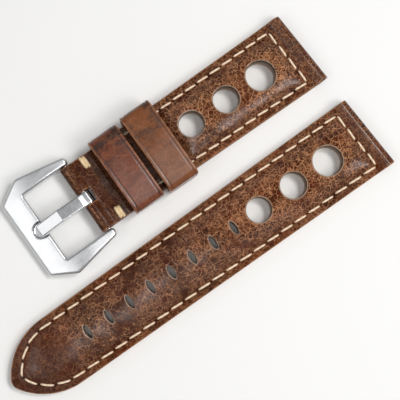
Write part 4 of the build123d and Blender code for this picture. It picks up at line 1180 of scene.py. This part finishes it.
def plain_leather(name, base, dark, pale, lines_share, press_share):
    """Smoother waxed leather with painted shade in patches on its +Y side, soft streaks along the strap, thin
    creases, and pale edges of wear with a painted highlight.
    """
    material, g, principled = new_material(name)
    place = here(g)
    dye = place_group(g, tone_group(), {"Place": place, "Brown": base, "Red": base, "Dark": dark,
                                        "Blotches": KEEPER_BLOTCHES, "Mottle": KEEPER_MOTTLE})
    cracks = place_group(g, crackle_group(), {"Place": place, "Size": KEEPER_CRACKLE})
    grain = place_group(g, grain_group(), {"Place": place})["Height"]
    edge, crease, shade = g.field("edge"), g.field("crease"), g.field("shade")
    streaks = g.noise(g.stretched(place, STREAK_STRETCH), *KEEPER_STREAKS)
    # Painted shade in patches over the keepers' +Y side, broken up by the streaks and noise.
    shade_patches = g.plus(g.times(streaks, 0.5), g.times(g.noise(place, *KEEPER_SHADE_PATCHES), 0.5))
    colour_now = g.mix(g.times(g.fade(streaks, *STREAK_FADE), STREAK_SHARE), dye["Colour"], dark)
    colour_now = g.mix(g.times(g.times(shade, g.fade(shade_patches, *SHADE_PATCH_FADE)), SHADE_PATCH_SHARE), colour_now, dark)
    colour_now = g.mix(g.times(cracks["Lines"], lines_share), colour_now, pale)
    colour_now = g.mix(g.times(crease, press_share), colour_now, dark)
    # Pale keeper edges: wear, and a painted highlight on the rounded edge.
    edge_wear_and_highlight = g.times(g.fade(edge, *KEEPER_EDGE_PALE, 1.0, 0.0), g.patches(place, *KEEPER_EDGE_PATCHES))
    colour_now = g.mix(edge_wear_and_highlight, colour_now, pale)
    height = g.plus(grain, g.times(cracks["All Lines"], KEEPER_CRACK_DEPTH))
    finish_material(g, principled, colour_now, g.patches(place, *KEEPER_ROUGH), height, *KEEPER_BUMP,
                    Specular_IOR_Level=0.4, Coat_Weight=0.3, Coat_Roughness=0.28)
    return material


def tinted(base, tint):
    """A colour made darker by one share, or by one for each of its three channels."""
    return [c * share for c, share in zip(base, np.broadcast_to(tint, 3).tolist())]


def inner_material(name, base, scale):
    """Raw inner layer: split leather or cloth, with a fine fibrous mottle."""
    material, g, principled = new_material(name)
    fibre = g.noise(here(g), scale, *FIBRE_NOISE)
    colour_now = g.mix(g.fade(fibre, *FIBRE_FADE), tinted(base, FIBRE_TINT), base)
    finish_material(g, principled, colour_now, INNER_ROUGH, fibre, *FIBRE_BUMP)
    return material


def thread_material(name, base):
    """Waxed twisted thread: slanted plies from the piece's own turn field, with painted shade between them,
    dirt, and painted shade towards the ends where it dives in.
    """
    material, g, principled = new_material(name)
    ply = g.maths("PINGPONG", g.field("ply"), 0.5)
    # Painted shade in the valleys between the plies.
    valley = g.fade(ply, 0.0, PLY_VALLEY, 1.0, 0.0)
    colour_now = g.mix(g.times(valley, VALLEY_SHARE), base, tinted(base, VALLEY_TINT))
    dirt = g.patches(here(g), *THREAD_DIRT)
    colour_now = g.mix(g.times(dirt, DIRT_SHARE), colour_now, tinted(base, DIRT_TINT))
    # Painted shade towards the thread's ends, where it dives into the leather.
    dive = g.fade(g.field("dive"), *THREAD_DIVE)
    colour_now = g.mix(g.times(dive, DIVE_SHARE), colour_now, tinted(base, DIVE_TINT))
    finish_material(g, principled, colour_now, THREAD_ROUGH, g.times(valley, -1.0), *THREAD_BUMP)
    return material


def steel_material(name, tone, rough_low, rough_high, brush):
    """Satin steel: fine long scratches in one direction that change roughness and tilt the surface a little."""
    material, g, principled = new_material(name)
    place, base = here(g), tinted(settings()[3].steel, tone)
    scratches, clouds = g.noise(g.stretched(place, brush), *SCRATCHES), g.noise(place, *STEEL_CLOUDS)
    uneven = g.plus(*(g.times(*pair) for pair in zip((scratches, clouds), STEEL_SHARES)))
    colour_now = g.mix(g.fade(scratches, *STEEL_FADE), tinted(base, SCRATCH_TINT), base)
    rough = g.fade(uneven, *STEEL_FADE, rough_low, rough_high)
    finish_material(g, principled, colour_now, rough, scratches, *STEEL_BUMP, Metallic=1.0)
    return material


# Pieces

def leather_half(name):
    """The top leather, padding, reinforcement and lining of one half."""
    half, place = Half(name), placement(name)
    top_leather(half, place)
    reinforcement(half, place)
    lining(half, place)
    padding(half, place)


def top_leather(half, place):
    """The top leather: the pierced and crowned sheet, and its folds round the spring bars."""
    s, tones = half.sizes, settings()[3]
    skin = strap_leather(f"{half.name} leather", tones.brown, tones.red, tones.dark, tones.pale)
    grid = half.grid(s.fold_length, half.end, LEATHER_STEP)
    along, over, _ = grid
    top = half.skin(along, over)
    wrap = s.sheet * (1 - ease(*WRAP_RANGE, from_sides(half, along, over)))
    bottom = np.minimum(s.lining + s.sheet + half.crown(along, over), top - LEATHER_LEAST) - wrap
    leather = Surface()
    layer(leather, half, grid, top, bottom, (0,) if half.tail else (0, len(along) - 1))
    drawn = rounded_drop(np.minimum(over[0] - over[0, 0], over[0, -1] - over[0]), s.fold_edge)
    fold_over(leather, half, 0.0, s.fold_length, over[0], top[0], np.linspace(drawn, bottom[0], FOLD_BACK_ROWS))
    if not half.tail:
        flap(leather, half, over[-1], top[-1], bottom[-1])
    leather.piece(f"{half.name}_top_leather_skin", half.body, [f"{half.name}_top_leather"],
                  "distressed_leather", skin, place)


def reinforcement(half, place):
    """The cloth between the leathers, a little smaller than they are."""
    s = half.sizes
    cloth = Surface()
    grid = half.grid(s.fold_length, half.end, CLOTH_STEP, CLOTH_INSET)
    layer(cloth, half, grid, s.lining + s.sheet, s.lining)
    cloth.piece(f"{half.name}_reinforcement_cloth", half.body, [f"{half.name}_reinforcement"],
                "reinforcement_cloth", inner_material("cloth", settings()[3].cloth, CLOTH_FIBRES), place)


def lining(half, place):
    """The underside leather, with a groove for the stitches."""
    s, keepers, _, tones, _ = settings()
    grid = half.grid(s.fold_length, half.end if half.tail else keepers.fixed_start, LEATHER_STEP)
    along, over, _ = grid
    groove = UNDER_GROOVE * bell(half.seam_fields(along, over)[0], UNDER_GROOVE_WIDTH)
    under = Surface()
    layer(under, half, grid, s.lining, groove + rounded_drop(half.edge_distance(along, over), s.fold_edge))
    under.piece(f"{half.name}_lining_leather", half.body, [f"{half.name}_lining"], "lining_leather",
                inner_material("lining leather", tones.lining, LINING_FIBRES), place)


def padding(half, place):
    """The board that makes the crown, between the cloth and the top leather."""
    s = half.sizes
    low, inset = s.lining + s.sheet, s.seam_margin + s.seam_gap
    grid = half.grid(half.cross + s.seam_gap, half.padding_end, PADDING_STEP, inset)
    surface = Surface()
    layer(surface, half, grid, low + np.maximum(half.crown(*grid[:2]) - PADDING_GAP, PADDING_LEAST), low)
    board = surface.piece(f"{half.name}_padding_board", half.body, [f"{half.name}_padding"], "padding_board",
                          inner_material("padding board", settings()[3].padding, PADDING_FIBRES), place)


def from_sides(half, along, over):
    """Distance from the outer sides alone, without the slot."""
    return tail_edge_distance(along, over) if half.tail else taper(along) - np.abs(over)


def flap(leather, half, over_lines, top, bottom):
    """The end of the leather, turned back below the buckle's bar: a flap underneath and two folded stubs."""
    sizes, keepers = settings()[:2]
    grid = half.grid(keepers.fixed_start + keepers.fixed_length, half.end, LEATHER_STEP)
    along, over, _ = grid
    drawn = rounded_drop(from_sides(half, along, over), sizes.fold_edge)
    layer(leather, half, grid, sizes.lining, drawn, (len(along) - 1,))
    for stub in (over_lines > SLOT_HALF - NIP, over_lines < -SLOT_HALF + NIP):
        fold_over(leather, half, half.length, half.end, over_lines[stub], top[stub],
                  [0 * top[stub] + sizes.lining, bottom[stub]])
    behind = np.abs(over_lines) < SLOT_HALF + NIP
    for low, high in ((drawn[-1], sizes.lining), (bottom, top)):
        wall = np.stack([(low + 0 * top)[behind], (high + 0 * top)[behind]])
        leather.add(level(half.end, over_lines[behind] + 0 * wall, wall), quads(*wall.shape), **HIDDEN_LEATHER)


def tubes(surface, middles, radius, closing, twist):
    """Threads round the middle lines given as [thread, place, xyz], closed and rounded at both ends.

    Around each place runs a circle whose radius swells twice a turn, so that it looks like two plies.
    """
    count, places, _ = middles.shape
    heading = headings(middles, 1)
    side = unit(np.cross(heading, (0, 0, 1.0)))
    up = np.cross(side, heading)
    angle = np.linspace(-math.pi / 2, 1.5 * math.pi, THREAD_SIDES, endpoint=False)
    run = np.linalg.norm(np.diff(middles, axis=1, prepend=middles[:, :1]), axis=2).cumsum(1)
    ply = angle / math.pi + run[..., None] / twist
    swell = radius * (1 + PLY_SWELL * np.cos(ply * 2 * math.pi)) * closing[:, None]
    points = (middles[:, :, None] + side[:, :, None] * (swell * np.cos(angle))[..., None]
              + up[:, :, None] * (swell * np.sin(angle))[..., None])
    one = quads(places, THREAD_SIDES, round_columns=True)
    faces = (one[None] + (np.arange(count) * places * THREAD_SIDES)[:, None, None]).reshape(-1, 4)
    ends = np.abs(np.linspace(-1, 1, places))[None, :, None] + 0 * ply
    surface.add(points.reshape(-1, 3), faces, ply=ply.ravel(), dive=ends.ravel())


def thread_shape(count, blunt):
    """Places from -1 to 1 along a thread, crowded at its ends, and how far it is closed at each."""
    t = np.sin(np.linspace(-math.pi / 2, math.pi / 2, count))
    return t, np.sqrt(1 - np.clip((np.abs(t) - blunt) / (1 - blunt), 0, 1) ** 2)


def stitches(half, below):
    """All the stitches of a half on one face, as tubes that lie on the leather and dive in at their ends."""
    s = half.sizes
    surface = Surface()
    t, closing = thread_shape(STITCH_POINTS, STITCH_BLUNT)
    dive = ease(*STITCH_DIVES, np.abs(t)) * s.thread * STITCH_DIVE
    for k, seam in enumerate(half.seams):
        count = half.stitch_count(k)
        total = walk(seam)[-1]
        centres = (np.arange(count) + 0.5) * total / count
        rng = np.random.default_rng(STITCH_SEEDS[below] + k)
        reach = (total / count - s.stitch_gap) * rng.uniform(*STITCH_SPREAD, count)[:, None] / 2
        places = at(seam, np.clip(centres[:, None] + t * reach, 0, total))
        heading = headings(places, 1)
        shift = t * reach * math.tan(STITCH_SLANT) + rng.normal(0, STITCH_SHIFT, count)[:, None]
        along = places[..., 0] - heading[..., 1] * shift
        over = places[..., 1] + heading[..., 0] * shift
        if below:
            height = UNDER_GROOVE - UNDER_STITCH_SUNK + dive + 0 * along
        else:
            rests = half.skin(along[:, STITCH_RESTS], over[:, STITCH_RESTS])
            height = rests.mean(1)[:, None] + s.thread * STITCH_RISE - dive + 0 * along
        radius = s.thread * (UNDER_STITCH if below else 1)
        tubes(surface, level(along, over, height), radius, closing, STITCH_TWIST)
    return surface


def half_threads(name):
    """The saddle stitches of one half, on its top and on its underside."""
    half, place = Half(name), placement(name)
    cream = thread_material("cream thread", settings()[3].thread)
    for below, face, node in ((False, "top", "top_thread"), (True, "underside", "lining_thread")):
        stitches(half, below).piece(f"{name}_{face}_stitches", half.body, [f"{name}_{node}"],
                                    "cream_thread", cream, place, ALL_SMOOTH)


def bar_tacks():
    """Two thick threads side by side near each edge, on both faces, that close the fold at the buckle."""
    s, tones = settings()[0], settings()[3]
    surface = Surface()
    t, closing = thread_shape(TACK_POINTS, TACK_BLUNT)
    middle = s.buckle_length - TACK_FROM_END
    centre = taper(middle) - TACK_FROM_EDGE - TACK_LENGTH / 2
    dive = ease(*TACK_DIVES, np.abs(t)) * TACK_RADIUS
    for side in (-1, 1):
        for step in (-0.5, 0.5):
            over = side * centre + t * TACK_LENGTH / 2 + step * TACK_STAGGER
            along = middle + step * TACK_PITCH + TACK_ASKEW * t * side
            top = level(along, over, s.thickness + TACK_RADIUS * TACK_RISE - dive)
            under = level(along, over, dive - TACK_RADIUS * TACK_UNDER_SUNK)
            tubes(surface, np.stack([top, under]), TACK_RADIUS, closing, TACK_TWIST)
    surface.piece("bar_tack_threads", "buckle_half", ["bar_tacks"], "tack_thread",
                  thread_material("tack thread", tones.tack), placement("buckle"), ALL_SMOOTH)


def keeper_path(inner_half, floor):
    """The closed middle line of a keeper's band: rounded corners, and an arched upper side."""
    sizes, keepers = settings()[:2]
    mid = keepers.leather / 2
    half, low = inner_half + mid, floor - mid
    side = sizes.thickness + keepers.room + mid - keepers.arch
    arch = np.linspace(1, -1, KEEPER_ARCH_POINTS)
    corners = [(half, low), *[(half * a, side + keepers.arch * (1 - a * a)) for a in arch], (-half, low)]
    shoulder = keepers.shoulder - mid
    radii = [KEEPER_FOOT, shoulder, *[0] * (len(arch) - 2), shoulder, KEEPER_FOOT]
    return rounded_line(corners, radii, True, KEEPER_STEP)[:-1]


def keeper_section(width):
    """The band's section: places across, heights over its middle, distance from the edge, and the crease."""
    a = lines([-width / 2, -width / 2 + KEEPER_RIM, width / 2 - KEEPER_RIM, width / 2], KEEPER_STEP_ACROSS)
    away = width / 2 - np.abs(a)
    thick = settings()[1].leather / 2 - rounded_drop(away, KEEPER_EDGE_ROUND)
    crease = bell(away - KEEPER_CREASE, KEEPER_CREASE_WIDTH)
    upper = (a, thick - KEEPER_CREASE_DEPTH * crease, away, crease)
    lower = (a[::-1], -thick[::-1], away[::-1], 0 * a)
    return [np.concatenate(pair) for pair in zip(upper, lower)]


def keeper(name, node, body, slot, material, start, width, inner_half, floor):
    """A leather loop: the band's section carried round its path."""
    path = keeper_path(inner_half, floor)
    across, lift, edge, crease = keeper_section(width)
    heading = unit(np.roll(path, -1, 0) - np.roll(path, 1, 0))
    out = np.stack([heading[:, 1], -heading[:, 0]], 1)
    if ((path - path.mean(0)) * out).sum() < 0:
        out = -out
    size, rise = KEEPER_WAVES
    wobble = waves(walk(path)[:, None], across[None], KEEPER_SEEDS[name], size) * rise
    normal = lift[None] + wobble * (lift[None] > 0) * ease(0, KEEPER_WAVES_START, edge)[None]
    along = start + width / 2 + across[None] + 0 * normal
    over = path[:, :1] + out[:, :1] * normal
    height = path[:, 1:] + out[:, 1:] * normal
    surface = Surface()
    surface.add(level(along, over, height), quads(*normal.shape, round_rows=True, round_columns=True),
                edge=(edge + 0 * normal).ravel(), crease=(crease + 0 * normal).ravel(),
                shade=ease(*KEEPER_SHADE, over).ravel())
    surface.piece(f"{name}_keeper_loop", body, [node], slot, material, placement("buckle"))


def keeper_loops():
    """The free keeper and the fixed keeper."""
    sizes, keepers, _, tones, _ = settings()
    free_half = taper(keepers.free_start - KEEPER_TRAVEL) + KEEPER_SIDE_GAP
    fixed_half = taper(keepers.fixed_start) + KEEPER_TIGHT_GAP
    keeper("free", "free_keeper", "free_keeper_loop", "keeper_leather_tan",
           plain_leather("free keeper leather", tones.tan, tones.dark, tones.pale, *FREE_LOOK),
           keepers.free_start, keepers.free_length, free_half, -KEEPER_TIGHT_GAP)
    keeper("fixed", "fixed_keeper", "buckle_half", "keeper_leather_red",
           plain_leather("fixed keeper leather", tones.keeper_red, tones.dark, tones.pale, *FIXED_LOOK),
           keepers.fixed_start, keepers.fixed_length, fixed_half, sizes.lining)


class FrameCurve:
    """The frame's curve along the wrist: it passes the spring bar, and the front edge touches the table."""

    def __init__(self):
        b = settings()[2]
        height = bar_placement().translation.z
        across, down = 2 * b.curve * b.reach, 2 * b.curve * height
        level_term = (b.curve - b.thick / 2) ** 2 - b.curve ** 2 - b.reach ** 2 - height ** 2
        tilt = math.atan2(down, across) + math.asin(level_term / math.hypot(across, down))
        self.x, self.z, self.curve, self.thick = b.curve * math.sin(tilt), -b.curve * math.cos(tilt), b.curve, b.thick

    def height(self, x, offset):
        """Height over the bar's axis of the curve that runs at an offset from the middle one."""
        return self.z + np.sqrt((self.curve + offset) ** 2 - (x - self.x) ** 2)


def spaced(line, keys, counts):
    """Points along a line, evenly between key places: so many between each two."""
    away = [np.linalg.norm(line - np.array(key), axis=1).argmin() for key in keys]
    run = walk(line)
    stops = [run[k] for k in away]
    spans = [np.linspace(a, b, n, endpoint=False) for a, b, n in zip(stops, stops[1:], counts)]
    return at(line, np.concatenate(spans + [stops[-1:]]))


def frame_edges():
    """The frame's opening and its outer edge, as lines of points, each evenly between its key places."""
    b = settings()[2]
    front, bar, corner, inner = -b.reach, b.bar - b.reach, b.corner - b.reach, b.inner / 2
    heel, end = b.heel_width / 2, (b.heel, (inner + b.heel_width / 2) / 2)
    cut = ((corner + front) / 2, (b.width + b.front) / 4)
    halves = (([end, (b.heel, inner), (bar, inner)], (0, ARM_ROUND, OPENING_ROUND),
               [end, (0, inner), (bar, inner), (bar, 0)]),
              ([end, (b.heel, heel), (corner, b.width / 2), (front, b.front / 2)],
               (0, ARM_ROUND, CORNER_ROUND, CORNER_ROUND), [end, (0, heel), cut, (front, 0)]))
    edges, rows = [], []
    for half, radii, keys in halves:
        edge = rounded_line(half + mirrored(half), radii + radii[::-1], False, FRAME_STEP)
        edges.append(edge)
        rows.append(spaced(edge, keys + mirrored(keys[:-1]), FRAME_COUNTS))
    return edges, rows


def mirrored(places):
    """Places on the other side of the middle line, in the opposite order."""
    return [(x, -y) for x, y in places[::-1]]


def notch_wall(curve, x, y):
    """Height of the notch that takes the tongue's tip: flat inside, and steep beyond its rounded end."""
    b = settings()[2]
    floor = curve.height(-b.tongue_reach, b.thick / 2) - NOTCH_DEPTH
    radius = b.tongue_width / 2 + NOTCH_SIDE
    past_end = np.hypot(np.maximum(-b.tongue_reach - NOTCH_PAST_TIP + radius - x, 0), y) - radius
    return floor + rounded_rise(past_end, NOTCH_SOFT) * NOTCH_SLOPE


def buckle_frame():
    """The steel frame: rows run from the opening's edge to the outer edge, from arm end to arm end."""
    b, curve = settings()[2], FrameCurve()
    (opening, outside), (inner_rows, outer_rows) = frame_edges()
    v = (1 - np.cos(np.linspace(0, math.pi, FRAME_COLUMNS))) / 2
    plan = inner_rows[:, None] * (1 - v[:, None]) + outer_rows[:, None] * v[:, None]
    x, y = plan[..., 0], plan[..., 1]
    away = nearest(plan.reshape(-1, 2), np.concatenate([opening, outside[::-1]]))[0].reshape(x.shape)
    top = np.minimum(curve.height(x, b.thick / 2) - rounded_drop(away, b.soft_edge), notch_wall(curve, x, y))
    bottom = curve.height(x, -b.thick / 2) + rounded_drop(away, FRAME_UNDER_ROUND)
    surface = Surface()
    points = [np.stack([x, y, z], -1).reshape(-1, 3) for z in (top, bottom)]
    surface.add(np.concatenate(points), sheet_faces(*x.shape, np.ones((len(x) - 1, x.shape[1] - 1), bool)))
    surface.piece("buckle_frame_steel", "frame", ["buckle_frame"], "brushed_buckle",
                  steel_material("satin steel", *FRAME_STEEL), bar_placement(), STEEL_SMOOTH_UP_TO)


def rounded_rise(value, soft):
    """0 below zero, then a rise that starts softly: value squared over value plus soft."""
    value = np.maximum(value, 0)
    return value ** 2 / (value + soft)


def tongue_path(wall):
    """The tongue's middle line: from the tip over the ridge, and round the spring bar."""
    b = settings()[2]
    mid, eye = b.tongue_thick / 2, TONGUE_EYE - wall / 2
    resting = FrameCurve().height(-b.tongue_reach, b.thick / 2)
    tip = (-b.tongue_reach, resting + TONGUE_PROUD - mid)
    ridge = (-b.tongue_reach + b.tongue_ridge, b.ridge_height - mid)
    around = [(eye * math.sin(a), eye * math.cos(a)) for a in np.linspace(0, TONGUE_EYE_TURN, TONGUE_EYE_STEPS)]
    radii = [0, TONGUE_RIDGE_ROUND, *[0] * TONGUE_EYE_STEPS]
    return rounded_line([tip, ridge, *around], radii, False, TONGUE_STEP)


def buckle_tongue():
    """The tongue: a rounded section carried along its middle line."""
    b = settings()[2]
    mid, wall = b.tongue_thick / 2, TONGUE_EYE - bar_radius() - TONGUE_EYE_GAP
    path = tongue_path(wall)
    run, heading = walk(path), headings(path, 0)
    up = np.stack([-heading[:, 1], heading[:, 0]], 1)
    near_tip = np.clip(TONGUE_TIP_ROUND - run, 0, None)
    half = b.tongue_width / 2 - TONGUE_TIP_ROUND + np.sqrt(TONGUE_TIP_ROUND ** 2 - near_tip ** 2)
    half_thick = mid + (wall / 2 - mid) * ease(*TONGUE_THINS, path[:, 0])
    thick = half_thick - rounded_drop(np.minimum(run, run[-1] - run), half_thick)
    angle = np.linspace(0, 2 * math.pi, TONGUE_SIDES, endpoint=False)
    across, lift = (np.sign(c) * np.abs(c) ** TONGUE_SECTION for c in (np.cos(angle), np.sin(angle)))
    y, offset = half[:, None] * across, thick[:, None] * lift
    x, z = path[:, :1] + up[:, :1] * offset, path[:, 1:] + up[:, 1:] * offset
    surface = Surface()
    surface.add(np.stack([x, y, z], -1), quads(*x.shape, round_columns=True))
    surface.piece("buckle_tongue_steel", "tongue", ["buckle_tongue"], "brushed_buckle",
                  steel_material("tongue steel", *TONGUE_STEEL), bar_placement(), STEEL_SMOOTH_UP_TO)


def bar_radius():
    """Radius of the spring bar's barrel, from its box."""
    low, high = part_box("spring_bar_barrel")
    return (high[0] - low[0]) / 2


def spring_bar():
    """The turned steel of the spring bar's four parts, which stay as the frame has them."""
    steel = steel_material("turned steel", *TURNED_STEEL)
    for node in ("spring_bar_barrel", "spring_bar_pin_left", "spring_bar_pin_right", "spring_bar_spring"):
        mesh = bpy.data.objects[node].data
        mesh.materials.clear()
        mesh.materials.append(steel)


def make_floor():
    """The pale floor, which is there for the picture alone."""
    mesh = bpy.data.meshes.new("floor")
    corners = [(x * FLOOR_REACH, y * FLOOR_REACH, 0) for x, y in ((-1, -1), (1, -1), (1, 1), (-1, 1))]
    mesh.from_pydata(corners, [], [(0, 1, 2, 3)])
    floor = bpy.data.objects.new("floor", mesh)
    bpy.context.scene.collection.objects.link(floor)
    material, g, principled = new_material("floor")
    finish_material(g, principled, settings()[3].floor, FLOOR_ROUGH)
    mesh.materials.append(material)


def make_lights():
    """The white surroundings and the lamps, each turned to the origin."""
    scene, stage = bpy.context.scene, settings()[4]
    scene.world = bpy.data.worlds.new("studio")
    scene.world.use_nodes = True
    background = scene.world.node_tree.nodes["Background"]
    background.inputs["Strength"].default_value = stage.sky
    background.inputs["Color"].default_value = (1, 1, 1, 1)
    for name, (size, spot) in LAMPS.items():
        light = bpy.data.lights.new(f"{name} light", "AREA")
        light.energy, light.size = getattr(stage, name), size
        lamp = bpy.data.objects.new(f"{name} light", light)
        lamp.location = spot
        lamp.rotation_euler = Vector(spot).to_track_quat("Z", "Y").to_euler()
        scene.collection.objects.link(lamp)


def make_camera():
    """The camera, at its distance over the point it looks at, turned and tilted as in the photo."""
    scene, stage = bpy.context.scene, settings()[4]
    data = bpy.data.cameras.new("camera")
    data.lens = data.sensor_width * stage.pixels_per_metre * stage.camera_distance / PICTURE_POINTS
    data.clip_start, data.clip_end = CAMERA_CLIP
    camera = bpy.data.objects.new("camera", data)
    focus = Vector((stage.focus_x, stage.focus_y, FOCUS_HEIGHT))
    turn = (Matrix.Rotation(stage.roll, 4, "Z") @ Matrix.Rotation(stage.tilt_right, 4, "Y")
            @ Matrix.Rotation(stage.tilt_up, 4, "X"))
    camera.matrix_world = Matrix.Translation(focus) @ turn @ Matrix.Translation((0, 0, stage.camera_distance))
    scene.collection.objects.link(camera)
    scene.camera = camera
    scene.view_settings.view_transform = "Standard"


class MakeLeatherHalves(bpy.types.Operator):
    """Adds the leathers, padding and reinforcement of both halves"""
    bl_idname = "strap.leather_halves"
    bl_label = "Leather halves"

    def execute(self, context):
        for name in HALVES:
            leather_half(name)
        return {"FINISHED"}


class MakeStitching(bpy.types.Operator):
    """Adds the saddle stitches of both halves, on top and underneath"""
    bl_idname = "strap.stitching"
    bl_label = "Saddle stitches"

    def execute(self, context):
        for name in HALVES:
            half_threads(name)
        return {"FINISHED"}


class MakeBarTacks(bpy.types.Operator):
    """Adds the thick tacks that close the fold at the buckle"""
    bl_idname = "strap.bar_tacks"
    bl_label = "Bar tacks"

    def execute(self, context):
        bar_tacks()
        return {"FINISHED"}


class MakeKeepers(bpy.types.Operator):
    """Adds the fixed keeper and the free keeper"""
    bl_idname = "strap.keepers"
    bl_label = "Keepers"

    def execute(self, context):
        keeper_loops()
        return {"FINISHED"}


class MakeBuckleFrame(bpy.types.Operator):
    """Adds the steel frame of the buckle"""
    bl_idname = "strap.buckle_frame"
    bl_label = "Buckle frame"

    def execute(self, context):
        buckle_frame()
        return {"FINISHED"}


class MakeBuckleTongue(bpy.types.Operator):
    """Adds the buckle's tongue"""
    bl_idname = "strap.buckle_tongue"
    bl_label = "Buckle tongue"

    def execute(self, context):
        buckle_tongue()
        return {"FINISHED"}


class MakeSpringBar(bpy.types.Operator):
    """Gives the spring bar's four parts their turned steel"""
    bl_idname = "strap.spring_bar"
    bl_label = "Spring bar"

    def execute(self, context):
        spring_bar()
        return {"FINISHED"}


class MakeStage(bpy.types.Operator):
    """Adds the floor, the lights and the camera"""
    bl_idname = "strap.stage"
    bl_label = "Stage"

    def execute(self, context):
        make_floor()
        make_lights()
        make_camera()
        return {"FINISHED"}


GROUPS = {"strap_sizes": StrapSizes, "keeper_sizes": KeeperSizes, "buckle_sizes": BuckleSizes,
          "strap_colours": StrapColours, "stage_settings": StageSettings}
OPERATORS = (MakeLeatherHalves, MakeStitching, MakeBarTacks, MakeKeepers, MakeBuckleFrame, MakeBuckleTongue,
             MakeSpringBar, MakeStage)


class StrapPanel(bpy.types.Panel):
    """The strap's sizes and colours, and a button for each of its pieces"""
    bl_idname = "STRAP_PT_pieces"
    bl_label = "Leather watch strap"
    bl_space_type = "VIEW_3D"
    bl_region_type = "UI"
    bl_category = "Strap"

    def draw(self, context):
        for name, kind in GROUPS.items():
            box = self.layout.box()
            box.label(text=kind.__doc__)
            for field in kind.__annotations__:
                box.prop(getattr(context.scene, name), field)
        for kind in OPERATORS:
            self.layout.operator(kind.bl_idname)


CLASSES = (*GROUPS.values(), *OPERATORS, StrapPanel)


def register():
    """Registers the classes and gives the scene its settings."""
    for kind in CLASSES:
        bpy.utils.register_class(kind)
    for name, kind in GROUPS.items():
        setattr(bpy.types.Scene, name, PointerProperty(type=kind))


def unregister():
    """Takes the settings and the classes away again."""
    for name in GROUPS:
        delattr(bpy.types.Scene, name)
    for kind in reversed(CLASSES):
        bpy.utils.unregister_class(kind)


def main():
    """Registers the classes, and builds every piece and the stage."""
    register()
    bpy.ops.strap.leather_halves()
    bpy.ops.strap.stitching()
    bpy.ops.strap.bar_tacks()
    bpy.ops.strap.keepers()
    bpy.ops.strap.buckle_frame()
    bpy.ops.strap.buckle_tongue()
    bpy.ops.strap.spring_bar()
    bpy.ops.strap.stage()


if __name__ == "__main__":
    main()
